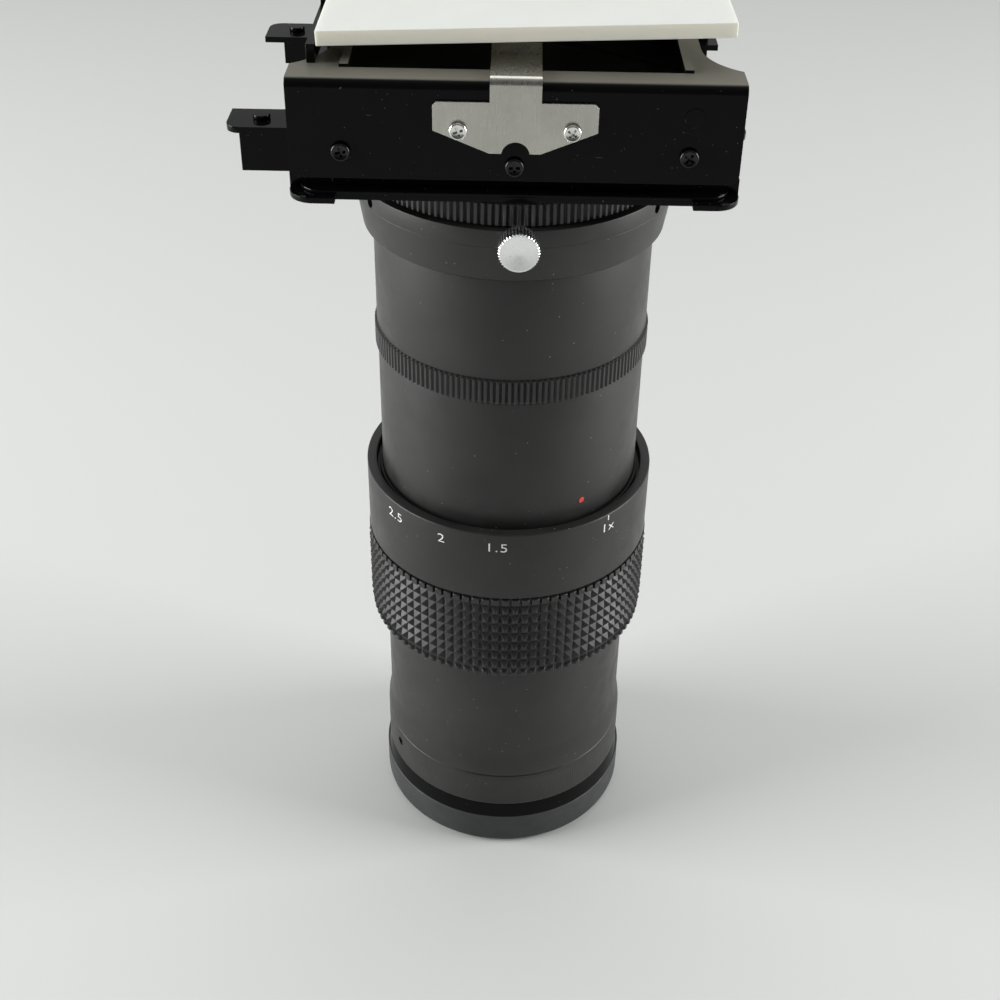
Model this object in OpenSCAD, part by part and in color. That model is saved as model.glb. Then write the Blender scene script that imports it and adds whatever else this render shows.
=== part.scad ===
// Zoom slide duplicator: a telescoping zoom barrel that screws to a camera,
// with a slide stage, a cross-moving carriage and an opal flap at its far end.
// Origin: centre of the rear cap's underside. +Z runs up the barrel, -Y is the front.

/* [Fits] */
// Radial clearance of a turning or sliding fit
run_gap = 0.06; // [0.02:0.01:0.1]
// Radial clearance of a piece seated in its own body
seat_gap = 0.05; // [0.02:0.01:0.1]
// Clearance between flat faces that pass each other
face_gap = 0.15; // [0.1:0.05:0.3]
// Free gap between parts that only lie near each other
free_gap = 0.3; // [0.2:0.05:0.5]
// Width of the seam lines between rings
seam = 0.2; // [0.1:0.05:0.4]

/* [Camera end] */
// Step of the rear cap's radius over the tubes
cap_step = 1.3; // [1:0.1:3]
// Thickness of the rear cap's floor
cap_floor = 1.4; // [1:0.1:2]
// Thickness of the rear cap's rim
cap_wall = 1.4; // [1:0.1:2]
// Rounding of the rear cap's lower edge
cap_edge = 1.8; // [0.8:0.1:2.4]
// Radius of the camera thread
thread_r = 21; // [18:0.5:21.5]
// Length of the camera thread
thread_len = 4.2; // [4.2:0.1:6]
// Thickness of the flange above the camera thread
flange_t = 1.9; // [1.2:0.1:3]
// Height of the glossy cone above the flange
cone_h = 3.4; // [2:0.1:5]
// Inset of the top of the glossy cone from the adapter band
cone_inset = 0.8; // [0.4:0.1:1.6]
// Wall of the camera thread
thread_wall = 2.5; // [1.6:0.1:4]
// Wall of the adapter band over the mount's spigot
band_wall = 1.9; // [1.7:0.1:2.2]
// Height of the mount's spigot
spigot_h = 6.2; // [5.5:0.1:6.5]
// Step of the adapter band's radius over the tubes
band_step = 0.7; // [0.5:0.1:2]
// Height of the adapter band
band_h = 8.4; // [8:0.1:10]
// Radius of the adapter's set screws
set_screw_r = 0.9; // [0.7:0.1:1.2]

/* [Zoom barrel] */
// Outer radius of the tubes
tube_r = 24.6; // [23:0.1:30]
// Wall of the tubes
tube_wall = 1.3; // [1:0.1:1.5]
// Height of the flare above the adapter band
flare_h = 6.8; // [4:0.1:9]
// Height of the rear tube from the flare to the zoom ring
rear_len = 22.9; // [15:0.5:40]
// Height of the zoom ring
zoom_h = 34.9; // [33:0.1:45]
// Wall of the zoom ring
zoom_wall = 1.91; // [1.7:0.01:2.5]
// Height of the knurled grip
grip_h = 20; // [14:1:24]
// Height of the grip's points over the zoom ring
grip_proud = 0.3; // [0.1:0.05:1]
// Depth of the grip's pyramids
grip_depth = 0.85; // [0.5:0.05:1]
// Rows of pyramids on the grip
grip_rows = 7; // [4:1:10]
// Pyramids round the grip
grip_count = 92; // [60:2:110]
// Wall of the rear tube's bearing sleeve
sleeve_wall = 0.83; // [0.7:0.01:1]
// Turn of the zoom ring from rest down to 1x, degrees
zoom_back = 9.5; // [5:0.5:20]
// Lift of the front tube per turn of the zoom ring, mm per degree
tube_lead = 0.2632; // [0.15:0.0001:0.3]
// Radius of the red index dot
dot_r = 0.6; // [0.4:0.05:1]

/* [Front barrel] */
// Height of the front tube above the zoom ring at rest
front_len = 26; // [24:0.5:60]
// Height of the knurled lock ring
lock_h = 4.7; // [3:0.1:8]
// Step of the lock ring's radius over the tubes
lock_step = 0.5; // [0.3:0.05:2]
// Flutes round the lock ring
lock_flutes = 150; // [60:2:180]
// Height of the extension tube between the lock ring and the collar
ext_len = 19.4; // [10:0.1:40]
// Height of the stage collar
collar_h = 10.5; // [10:0.1:14]
// Wall of the stage collar
collar_wall = 2.14; // [1.9:0.01:3.5]
// Height of the collar's sloping lower part
collar_slope_h = 6.5; // [5:0.1:7]
// Step of the turning spigot's radius over the tubes
turn_step = 0.7; // [0.6:0.05:1]
// Step of the rotation ring's rim over its spigot
ring_step = 1.2; // [1:0.1:2]
// Height of the rotation ring's knurled rim
ring_h = 1.8; // [1.5:0.1:3]
// Flutes round the rotation ring
ring_flutes = 160; // [60:2:180]
// Radius of the thumbscrew's head
thumb_r = 3.3; // [2.5:0.1:3.4]
// Turn of the thumbscrew from the front, degrees
thumb_az = 1.7; // [0:0.1:10]

/* [Lens] */
// Gap between the lens cell and the tube's bore
cell_gap = 0.6; // [0.4:0.1:1]
// Height of the lens cell
cell_h = 26; // [24:0.5:32]
// Radius of the lens elements
glass_r = 13; // [10:0.5:14]

/* [Stage] */
// Width of the stage tray
tray_w = 70.4; // [68:0.2:86]
// Reach of the tray's ears past the rotation ring
ear_reach = 1.5; // [1:0.1:6]
// Sheet thickness of the tray
tray_t = 1.3; // [1:0.1:1.6]
// Thickness of the tray's side walls
wall_t = 1; // [0.8:0.1:1.2]
// Height of the tray's side walls above its floor
wall_h = 3.4; // [3:0.1:3.5]
// Thickness of the shift plate
shift_t = 1.4; // [1:0.1:1.8]
// Inset of the stage bracket's ends from the tray's sides
bracket_inset = 0.6; // [0:0.1:1]
// Inset of the bracket's flanges from the tray's ears
flange_inset = 1.5; // [1:0.1:2]
// Height of the bracket's top above the shift plate
bracket_h = 17.7; // [14.7:0.1:21.3]
// Gap between the bracket's flanges and the shift plate
flange_gap = 2.2; // [1.3:0.1:2.8]
// Sheet thickness of the bracket
sheet_t = 1.1; // [0.9:0.1:1.2]
// Outer radius of the bracket's bends
bend_r = 1.4; // [1.2:0.1:2]
// Width of the picture window
window_w = 46; // [36:1:48]
// Depth of the picture window
window_d = 34; // [24:1:36]
// Width of a slide mount, held between the ribs
slide_w = 50.8; // [49:0.1:52]
// Width of a slide rib
rib_w = 1.4; // [1:0.1:2]
// Height of a slide rib
rib_h = 0.5; // [0.3:0.1:0.8]
// Radius of the finger notches' ends
notch_r = 12; // [8:0.5:13]
// Depth of the finger notches
notch_depth = 5.6; // [4:0.1:6]

/* [Carriage] */
// Length of the carriage beyond the bracket's width
carriage_over = 10.6; // [9.4:0.1:14]
// Gap between the carriage and the bracket's flanges
carriage_gap = 0.4; // [0.3:0.05:0.6]
// Height of the carriage's lower edge over the shift plate
carriage_lift = 2.5; // [1.5:0.1:2.6]
// Height of the carriage
carriage_h = 7; // [6:0.1:7.4]
// Sheet thickness of the carriage
carriage_t = 1; // [0.8:0.1:1.2]
// Place of the carriage's middle at rest
carriage_x = -4.5; // [-5:0.1:0]
// Travel of the carriage to the left of rest
carriage_left = 6; // [3:0.1:6.2]
// Travel of the carriage to the right of rest
carriage_right = 6.5; // [4:0.1:6.6]
// Depth of the carriage's arms
arm_d = 7.7; // [7:0.1:9]
// Depth of the carriage's end notches
arm_l = 10.4; // [8:0.1:11]

/* [Flap] */
// Inset of the opal flap's free end from the bracket's end
flap_inset = 1.6; // [0:0.1:6]
// Depth of the opal flap
flap_d = 46; // [40:0.5:50]
// Thickness of the opal flap
flap_t = 2.3; // [2:0.1:4]
// Tilt of the flap at rest, degrees
flap_tilt = 2.2; // [1:0.1:4]
// Width of the hinge rail
rail_w = 1.3; // [1:0.1:1.6]
// Height of the hinge rail
rail_h = 2.9; // [2:0.1:3.5]

/* [Hidden] */
$fn = 96;
screw_fn = 32;

// Radii, from the tubes outward and inward
cap_r = tube_r + cap_step;
band_r = tube_r + band_step;
cone_top_r = band_r - cone_inset;
spigot_r = band_r - band_wall;
mount_bore_r = thread_r - thread_wall;
bore_r = tube_r - tube_wall;
sleeve_in_r = tube_r + 0.25;
sleeve_r = sleeve_in_r + sleeve_wall;
bearing_r = sleeve_r - 0.45;
zoom_bore_r = sleeve_r + run_gap;
zoom_r = zoom_bore_r + zoom_wall;
grip_r = zoom_r + grip_proud;
grip_core_r = grip_r - grip_depth - 0.5;
grip_bore_r = grip_core_r + seat_gap;
lock_r = tube_r + lock_step;
ext_spigot_r = bore_r + 0.6;
turn_r = tube_r + turn_step;
turn_bore_r = turn_r + run_gap;
collar_r = turn_bore_r + collar_wall;
groove_r = turn_r - 0.7;
ring_r = turn_r + ring_step;
ring_bore_r = turn_r - 2.5;
tray_bore_r = ring_bore_r - 0.5;
cell_r = bore_r - cell_gap;

// Widths and depths of the stage
tray_d = 2 * (ring_r + ear_reach);
bracket_w = tray_w - 2 * bracket_inset;
bracket_d = tray_d - 2 * flange_inset;
carriage_l = bracket_w + carriage_over;
carriage_d = bracket_d - 2 * (sheet_t + carriage_gap);

// Heights of the camera end
thread_z = cap_floor + free_gap;
flange_z = thread_z + thread_len;
cap_h = flange_z + flange_t;
cone_z = cap_h + cone_h;
band_z = cone_z + band_h;
mount_flange_r = cap_r - cap_wall - run_gap;
set_screw_z = cone_z + 5.1;
set_screw_az = [-61, 59, 179];

// Heights of the zoom barrel
rear_z = band_z + seam / 2;
joint_r = thread_r - seat_gap;
joint_bore_r = thread_r - 1.2;
joint_h = 2;
zoom_z = rear_z + flare_h + rear_len;
zoom_top = zoom_z + zoom_h;
lip_h = 1.1;
step_z = zoom_z + lip_h + free_gap;
step_in_z = step_z + 1.2;
bearing_z = zoom_top - 4.2;
bearing_top = zoom_top - 0.8;
sleeve_top = bearing_top - 0.9;
tube_foot_z = step_in_z + zoom_back * tube_lead + 0.4;

// Heights of the front barrel
tube_top = zoom_top + front_len;
lock_z = tube_top + seam / 2;
ext_z = tube_top + lock_h + seam;
ext_spigot_top = ext_z + 3.3;
collar_z = ext_z + ext_len;
ext_top = collar_z + 4.5;
ledge_z = ext_top + seam;
collar_top = collar_z + collar_h;
turn_z = ledge_z + seam;
ring_z = collar_top + seam;
ring_top = ring_z + ring_h;
collar_screw_z = collar_top - 2.7;
thumb_z = ring_top - 0.7 - thumb_r;
groove_low = collar_screw_z - set_screw_r - 0.2;
thumb_shaft_r = 1.25;
groove_high = thumb_z + thumb_shaft_r + 0.2;
collar_screw_az = [-60, 60, 180];
thumb_face_y = collar_r + 6;
thumb_head_t = 3.6;

// Lens
cell_z = tube_foot_z + 6.5;
cell_wall = 3;
cell_top = cell_z + cell_h;

// Stage
tray_z = ring_top;
floor_z = tray_z + tray_t;
shift_z = floor_z + face_gap / 2;
deck_z = shift_z + shift_t;
ear_w = 7.4;
ear_depth = 1.7;
tray_corner = 4;
shift_w = tray_w - 2 * wall_t - 2 * free_gap;
lip_z = deck_z + face_gap;
lip_w = 1.3;
lip_t = 0.9;
top_z = deck_z + bracket_h;
sheet_z = top_z - sheet_t;
flange_low = deck_z + flange_gap;
bracket_screw_r = 1;
bar_t = 2.8;
bar_l = bracket_w - 10.2;
rib_x = (slide_w + 0.2 + rib_w) / 2;
rib_l = bracket_d / 2 - 5.5;
notch_x = bracket_w / 2 - notch_depth;
notch_half = 9.7;

// Carriage, and the screws that pass through its slots
carriage_low = deck_z + carriage_lift;
carriage_top = carriage_low + carriage_h;
carriage_mid = (carriage_low + carriage_top) / 2;
side_screw_x = bracket_w / 2 - 8;
side_screw_z = carriage_mid + 0.6;
mid_screw_z = carriage_mid - 1.4;
plug_x = side_screw_x + 0.4;
plug_z = top_z - 4.9;
arm_corner = 2.2;
carriage_window_w = 40;
carriage_window_d = 28;
stud_r = 1.35;
bar_face_y = carriage_d / 2 - carriage_t - free_gap;
bar_top = carriage_top - carriage_t - face_gap;
slot_r = bracket_screw_r + 0.35;

// Clips
clip_t = 0.5;
clip_w = 25;
clip_tongue_w = 7.8;
clip_top_z = top_z - 2.9;
clip_screw_x = 8.65;
clip_screw_z = top_z - 7.3;
clip_screw_r = 0.85;

// Flap hinge
hinge_x = 3.25 - bracket_w / 2;
hinge_z = top_z + rail_h + 0.95;
knuckle_r = 0.8;
pin_r = 0.4;
knuckle_l = 6;
knuckle_y = 0.5;
rail_front = 7 - bracket_d / 2;
rail_back = bracket_d / 2 - 0.9;
flap_x = hinge_x + 0.95;
flap_w = bracket_w / 2 - flap_inset - flap_x;
flap_front = rail_front - 0.5;
flap_low = hinge_z - flap_t / 2;

// Points of an arc about (x, y), from angle a to angle b
function arc(x, y, r, a, b, steps = 6) =
    [for (i = [0:steps]) let (t = a + (b - a) * i / steps) [x + r * cos(t), y + r * sin(t)]];

// Outline with n straight flutes of the given depth
function fluted(r, depth, n) =
    [for (i = [0:2 * n - 1]) let (t = i * 180 / n, q = r - (i % 2) * depth) [q * cos(t), q * sin(t)]];

// A solid of revolution from points [radius, height]
module turned(points) {
    rotate_extrude() polygon(points);
}

// A ring between two radii and two heights
module ring(inner, outer, low, high) {
    turned([[inner, low], [outer, low], [outer, high], [inner, high]]);
}

// Places a piece at an angle from the front, with its +X pointing outward
module at_azimuth(az) {
    rotate([0, 0, az - 90]) children();
}

// A radial cylinder from radius a to radius b at height z
module radial_pin(az, z, r, a, b, sides = screw_fn) {
    at_azimuth(az) translate([a, 0, z]) rotate([0, 90, 0]) cylinder(h = b - a, r = r, $fn = sides);
}

// A rectangle with round corners, made of exact arcs
module round_rect(w, d, r) {
    square([w - 2 * r, d], center = true);
    square([w, d - 2 * r], center = true);
    for (x = [-1, 1], y = [-1, 1])
        translate([x * (w / 2 - r), y * (d / 2 - r)]) circle(r = r, $fn = screw_fn);
}

// A rounded plate between two heights
module plate(w, d, r, low, high) {
    translate([0, 0, low]) linear_extrude(high - low) round_rect(w, d, r);
}

// A cylinder along Y from y0 to y1
module along_y(x, z, r, y0, y1, sides = screw_fn) {
    translate([x, y1, z]) rotate([90, 0, 0]) cylinder(h = y1 - y0, r = r, $fn = sides);
}

// The same children at the front and, mirrored, at the rear
module front_and_rear() {
    children();
    mirror([0, 1, 0]) children();
}

module rear_cap() {
    color([0.15, 0.155, 0.155])
    turned(concat([[0, 0]], arc(cap_r - cap_edge, cap_edge, cap_edge, -90, 0),
        [[cap_r, cap_h], [cap_r - cap_wall, cap_h], [cap_r - cap_wall, cap_floor], [0, cap_floor]]));
}

module mount_ring() {
    color([0.05, 0.05, 0.05])
    turned([[mount_bore_r, thread_z], [thread_r, thread_z], [thread_r, flange_z],
        [mount_flange_r, flange_z], [mount_flange_r, cap_h], [cap_r - 0.2, cap_h],
        [cone_top_r, cone_z], [spigot_r, cone_z], [spigot_r, cone_z + spigot_h],
        [mount_bore_r, cone_z + spigot_h]]);
}

module adapter_ring() {
    edge = 0.3;
    step_z = cone_z + spigot_h + seam;
    color([0.17, 0.18, 0.18])
    difference() {
        turned([[spigot_r + seat_gap, cone_z], [band_r - edge, cone_z], [band_r, cone_z + edge],
            [band_r, band_z - edge], [band_r - edge, band_z], [thread_r, band_z],
            [thread_r, step_z], [spigot_r + seat_gap, step_z]]);
        for (az = set_screw_az)
            radial_pin(az, set_screw_z, set_screw_r + seat_gap, spigot_r - 1, band_r + 1);
    }
}

// A headless set screw with a hexagonal socket in its outer end
module set_screw(az, z, r, inner, outer) {
    difference() {
        radial_pin(az, z, r, inner, outer);
        radial_pin(az, z, r * 0.55, outer - 0.7, outer + 1, 6);
    }
}

module adapter_set_screws() {
    color([0.1, 0.1, 0.1])
    for (az = set_screw_az) set_screw(az, set_screw_z, set_screw_r, spigot_r, band_r - 0.3);
}

module rear_tube() {
    collar_low = rear_z - joint_h;
    foot_h = 0.4;
    // The flare is concave: steep at the band, then easing into the tube
    flare = [for (i = [0:8]) let (t = i / 8)
        [tube_r + band_step * pow(1 - t, 2), rear_z + foot_h + (flare_h - foot_h) * t]];
    color([0.2, 0.2, 0.19])
    turned(concat([[joint_bore_r, collar_low], [joint_r, collar_low], [joint_r, rear_z], [band_r, rear_z]],
        flare, [[tube_r, step_z], [sleeve_r, step_z],
        [sleeve_r, sleeve_top], [bearing_r + seat_gap, sleeve_top], [bearing_r + seat_gap, bearing_z],
        [sleeve_in_r, bearing_z], [sleeve_in_r, step_in_z], [bore_r, step_in_z], [bore_r, rear_z + 2],
        [joint_bore_r, rear_z + 2]]));
}

module bearing_ring() {
    color([0.12, 0.12, 0.12])
    ring(tube_r + run_gap, bearing_r, bearing_z, bearing_top);
}

module zoom_ring() {
    edge = 0.25;
    grip_top = zoom_z + grip_h;
    color([0.16, 0.16, 0.16])
    turned([[tube_r + run_gap, zoom_z], [grip_core_r, zoom_z], [grip_core_r, grip_top],
        [zoom_r, grip_top], [zoom_r, zoom_top - edge], [zoom_r - edge, zoom_top],
        [zoom_bore_r + edge, zoom_top], [zoom_bore_r, zoom_top - edge],
        [zoom_bore_r, zoom_z + lip_h], [tube_r + run_gap, zoom_z + lip_h]]);
}

// The grip's skin: rows of pyramids between a row of small blocks at each edge
module grip_ring() {
    border = 2;
    low = zoom_z + 0.1;
    high = zoom_z + grip_h - 0.1;
    valley = grip_r - grip_depth;
    block_r = grip_r - 0.2;
    block_side = 0.14;
    block_end = 0.35;
    row_h = (high - low - 2 * border) / grip_rows;
    n = grip_count;
    turn = 360 / n;
    inner = grip_bore_r / cos(turn / 2);
    row_z = [for (i = [0:grip_rows]) low + border + i * row_h];
    levels = concat([low], row_z, [high]);
    function at(r, a, z) = [r * cos(a * turn), r * sin(a * turn), z];
    function loop(r, z, shift = 0) = [for (j = [0:n - 1]) at(r, j + shift, z)];
    function next(j) = (j + 1) % n;
    // Points: the cells' corners, the pyramids' tips, the bore's two rims, then the blocks' corners
    corners = [for (z = levels) each loop(valley, z)];
    tips = [for (i = [0:grip_rows - 1]) each loop(grip_r, low + border + (i + 0.5) * row_h, 0.5)];
    rims = concat(loop(inner, low), loop(inner, high));
    block_rows = [0, grip_rows + 1];
    blocks = [for (i = block_rows, z = [levels[i] + block_end, levels[i + 1] - block_end])
        for (a = [block_side, 1 - block_side]) each loop(block_r, z, a)];
    tip0 = len(corners);
    rim0 = tip0 + len(tips);
    block0 = rim0 + len(rims);
    function pyramid(a, b, c, d, t) = [[a, t, b], [b, t, d], [d, t, c], [c, t, a]];
    function block(a, b, c, d, p) =
        let (q = p + n, r = p + 2 * n, s = p + 3 * n)
        [[a, p, q, b], [b, q, s, d], [d, s, r, c], [c, r, p, a], [p, r, s, q]];
    function band(a, b) =
        [for (j = [0:n - 1]) each [[a + j, b + j, b + next(j)], [a + j, b + next(j), a + next(j)]]];
    pyramids = [for (i = [0:grip_rows - 1], j = [0:n - 1])
        let (a = (i + 1) * n + j, b = (i + 1) * n + next(j))
        each pyramid(a, b, a + n, b + n, tip0 + i * n + j)];
    edge_blocks = [for (k = [0, 1], j = [0:n - 1])
        let (a = block_rows[k] * n + j, b = block_rows[k] * n + next(j))
        each block(a, b, a + n, b + n, block0 + 4 * n * k + j)];
    color([0.14, 0.14, 0.14])
    polyhedron(points = concat(corners, tips, rims, blocks),
        faces = concat(pyramids, edge_blocks, band(rim0, 0), band(tip0 - n, rim0 + n),
            band(rim0 + n, rim0)));
}

module front_tube() {
    color([0.19, 0.19, 0.18])
    turned([[bore_r, tube_foot_z], [tube_r, tube_foot_z], [tube_r, tube_top], [ext_spigot_r, tube_top],
        [ext_spigot_r, ext_spigot_top], [bore_r, ext_spigot_top]]);
}

module index_dot() {
    color([0.75, 0.16, 0.12])
    radial_pin(33.3, zoom_top + 3.3, dot_r, tube_r - 0.01, tube_r + 0.12);
}

module lock_ring() {
    color([0.12, 0.12, 0.12])
    difference() {
        translate([0, 0, lock_z]) linear_extrude(lock_h) polygon(fluted(lock_r, 0.4, lock_flutes));
        translate([0, 0, lock_z - 1]) cylinder(h = lock_h + 2, r = ext_spigot_r + run_gap);
    }
}

module extension_tube() {
    socket_r = ext_spigot_r + seat_gap;
    color([0.19, 0.19, 0.18])
    turned([[socket_r, ext_z], [tube_r + 0.1, ext_z], [tube_r + 0.1, ext_top], [bore_r, ext_top],
        [bore_r, ext_spigot_top + free_gap], [socket_r, ext_spigot_top + free_gap]]);
}

module stage_collar() {
    lower_bore = tube_r + 0.1 + seat_gap;
    slope_top = collar_z + collar_slope_h;
    color([0.18, 0.18, 0.17])
    difference() {
        turned([[lower_bore, collar_z], [collar_r - 1.6, collar_z], [collar_r - 1.1, collar_z + 0.4],
            [collar_r - 0.15, slope_top - 0.1], [collar_r - 0.3, slope_top], [collar_r, slope_top + 0.15],
            [collar_r, collar_top], [turn_bore_r, collar_top], [turn_bore_r, ledge_z],
            [lower_bore, ledge_z]]);
        for (az = collar_screw_az)
            radial_pin(az, collar_screw_z, set_screw_r + seat_gap, groove_r, collar_r + 1);
        radial_pin(thumb_az, thumb_z, thumb_shaft_r + run_gap, groove_r, collar_r + 1);
    }
}

module collar_set_screws() {
    color([0.1, 0.1, 0.1])
    for (az = collar_screw_az)
        set_screw(az, collar_screw_z, set_screw_r, groove_r + face_gap, collar_r - 0.4);
}

module thumbscrew() {
    head_y = thumb_face_y - thumb_head_t;
    color([0.85, 0.86, 0.86])
    at_azimuth(thumb_az) translate([0, 0, thumb_z]) rotate([0, 90, 0]) {
        translate([0, 0, groove_r + face_gap])
            cylinder(h = head_y - groove_r, r = thumb_shaft_r, $fn = screw_fn);
        translate([0, 0, head_y - 1.2]) cylinder(h = 1.3, r = 2, $fn = screw_fn);
        translate([0, 0, head_y]) linear_extrude(thumb_head_t - 0.3) polygon(fluted(thumb_r, 0.25, 28));
        translate([0, 0, head_y]) cylinder(h = thumb_head_t, r = thumb_r - 0.35, $fn = screw_fn);
    }
}

// Radius of the stop's opening, the places of the two lens groups and their seats
stop_r = 6;
front_glass_z = cell_top - 8;
rear_glass_z = cell_z + 3;
glass_t = 5;
glass_rim = 2;
glass_seat = 1.2;

module lens_cell() {
    seat_r = glass_r - 1.2;
    front_seat = front_glass_z + glass_seat;
    rear_seat = rear_glass_z + glass_t - glass_seat;
    color([0.08, 0.08, 0.08])
    turned([[glass_r + seat_gap, cell_z], [cell_r - 1, cell_z], [cell_r, cell_z + 1],
        [cell_r, cell_z + 4], [cell_r - cell_wall, cell_z + 5], [cell_r - cell_wall, cell_top - 5],
        [cell_r, cell_top - 4], [cell_r, cell_top], [glass_r + 3, cell_top],
        [glass_r + seat_gap, cell_top - 2.5], [glass_r + seat_gap, front_seat], [seat_r, front_seat],
        [seat_r, rear_seat], [glass_r + seat_gap, rear_seat]]);
}

// A biconvex lens element with a flat rim
module element(z) {
    half = glass_t / 2;
    rim = glass_rim / 2;
    sag = half - rim;
    big = (pow(glass_r, 2) + pow(sag, 2)) / (2 * sag);
    span = asin(glass_r / big);
    translate([0, 0, z + half])
    turned(concat([for (i = [0:8]) let (t = span * i / 8) [big * sin(t), rim + sag - big + big * cos(t)]],
        [for (i = [8:-1:0]) let (t = span * i / 8) [big * sin(t), -(rim + sag - big + big * cos(t))]]));
}

module front_element() {
    color([0.55, 0.6, 0.75, 0.5]) element(front_glass_z);
}

module rear_element() {
    color([0.55, 0.6, 0.75, 0.5]) element(rear_glass_z);
}

module retaining_rings() {
    rim_w = 1.5;
    rim_t = 1.6;
    lift = (glass_t + glass_rim) / 2 + 0.4;
    front_z = front_glass_z + lift;
    rear_z = rear_glass_z + glass_t - lift;
    color([0.06, 0.06, 0.06]) {
        ring(glass_r - rim_w, glass_r, front_z, front_z + rim_t);
        ring(glass_r - rim_w, glass_r, rear_z - rim_t, rear_z);
    }
}

module aperture_stop() {
    middle = (front_glass_z + rear_glass_z + glass_t) / 2;
    color([0.05, 0.05, 0.05])
    ring(stop_r, glass_r - 1.2 - seat_gap, middle - 0.3, middle + 0.3);
}

// Places of the four screws that join the rotation ring to the tray
ring_screw_pcr = ring_bore_r + 1.8;
ring_screw_r = 0.9;

module rotation_ring() {
    color([0.12, 0.12, 0.12])
    difference() {
        union() {
            turned([[ring_bore_r, turn_z], [turn_r, turn_z], [turn_r, groove_low], [groove_r, groove_low],
                [groove_r, groove_high], [turn_r, groove_high], [turn_r, ring_z + 0.5],
                [ring_bore_r, ring_z + 0.5]]);
            translate([0, 0, ring_z]) linear_extrude(ring_h) difference() {
                polygon(fluted(ring_r, 0.4, ring_flutes));
                circle(r = ring_bore_r);
            }
        }
        for (a = [45:90:315]) rotate([0, 0, a]) translate([ring_screw_pcr, 0, ring_top - 2])
            cylinder(h = 3, r = ring_screw_r + seat_gap, $fn = screw_fn);
    }
}

module ring_screws() {
    color([0.1, 0.1, 0.1])
    for (a = [45:90:315]) rotate([0, 0, a]) translate([ring_screw_pcr, 0, 0]) difference() {
        rotate_extrude($fn = screw_fn) polygon([[0, ring_top - 1.9], [ring_screw_r, ring_top - 1.9],
            [ring_screw_r, floor_z - 1], [1.7, floor_z - 0.1], [0, floor_z - 0.1]]);
        for (b = [0, 90]) rotate([0, 0, b]) translate([-1, -0.2, floor_z - 0.6]) cube([2, 0.4, 1]);
    }
}

module stage_tray() {
    wall_x = tray_w / 2 - wall_t;
    wall_l = tray_d - 2 * tray_corner - 1;
    color([0.06, 0.06, 0.06])
    difference() {
        union() {
            plate(tray_w, tray_d, tray_corner, tray_z, floor_z);
            for (x = [-1, 1]) {
                translate([x * (wall_x + wall_t / 2), 0, (tray_z + floor_z + wall_h) / 2])
                    cube([wall_t, wall_l, floor_z + wall_h - tray_z], center = true);
                translate([x * (wall_x + (wall_t - lip_w) / 2), 0, lip_z + lip_t / 2])
                    cube([wall_t + lip_w, wall_l, lip_t], center = true);
            }
        }
        front_and_rear() translate([-tray_w / 2 + ear_w, -tray_d / 2 - 1, tray_z - 1])
            cube([tray_w - 2 * ear_w, ear_depth + 1, tray_t + 2]);
        translate([0, 0, tray_z - 1]) cylinder(h = tray_t + 2, r = tray_bore_r);
        for (a = [45:90:315]) rotate([0, 0, a]) translate([ring_screw_pcr, 0, 0])
            rotate_extrude($fn = screw_fn) polygon([[0, tray_z - 1], [ring_screw_r + seat_gap, tray_z - 1],
                [ring_screw_r + seat_gap, floor_z - 1], [1.7 + seat_gap, floor_z - 0.1],
                [1.7 + seat_gap, floor_z + 1], [0, floor_z + 1]]);
    }
}

module shift_plate() {
    color([0.07, 0.07, 0.07])
    translate([0, 0, shift_z]) linear_extrude(shift_t) difference() {
        round_rect(shift_w, bracket_d, tray_corner + 0.5);
        round_rect(window_w, window_d, 3);
    }
}

module guide_bars() {
    color([0.07, 0.07, 0.07])
    front_and_rear() difference() {
        translate([-bar_l / 2, -bar_face_y, deck_z]) cube([bar_l, bar_t, bar_top - deck_z]);
        for (x = [-side_screw_x, side_screw_x])
            along_y(x, side_screw_z, bracket_screw_r, -bar_face_y - 1, -bar_face_y + 2);
        along_y(0, mid_screw_z, bracket_screw_r, -bar_face_y - 1, -bar_face_y + 2);
    }
}

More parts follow.
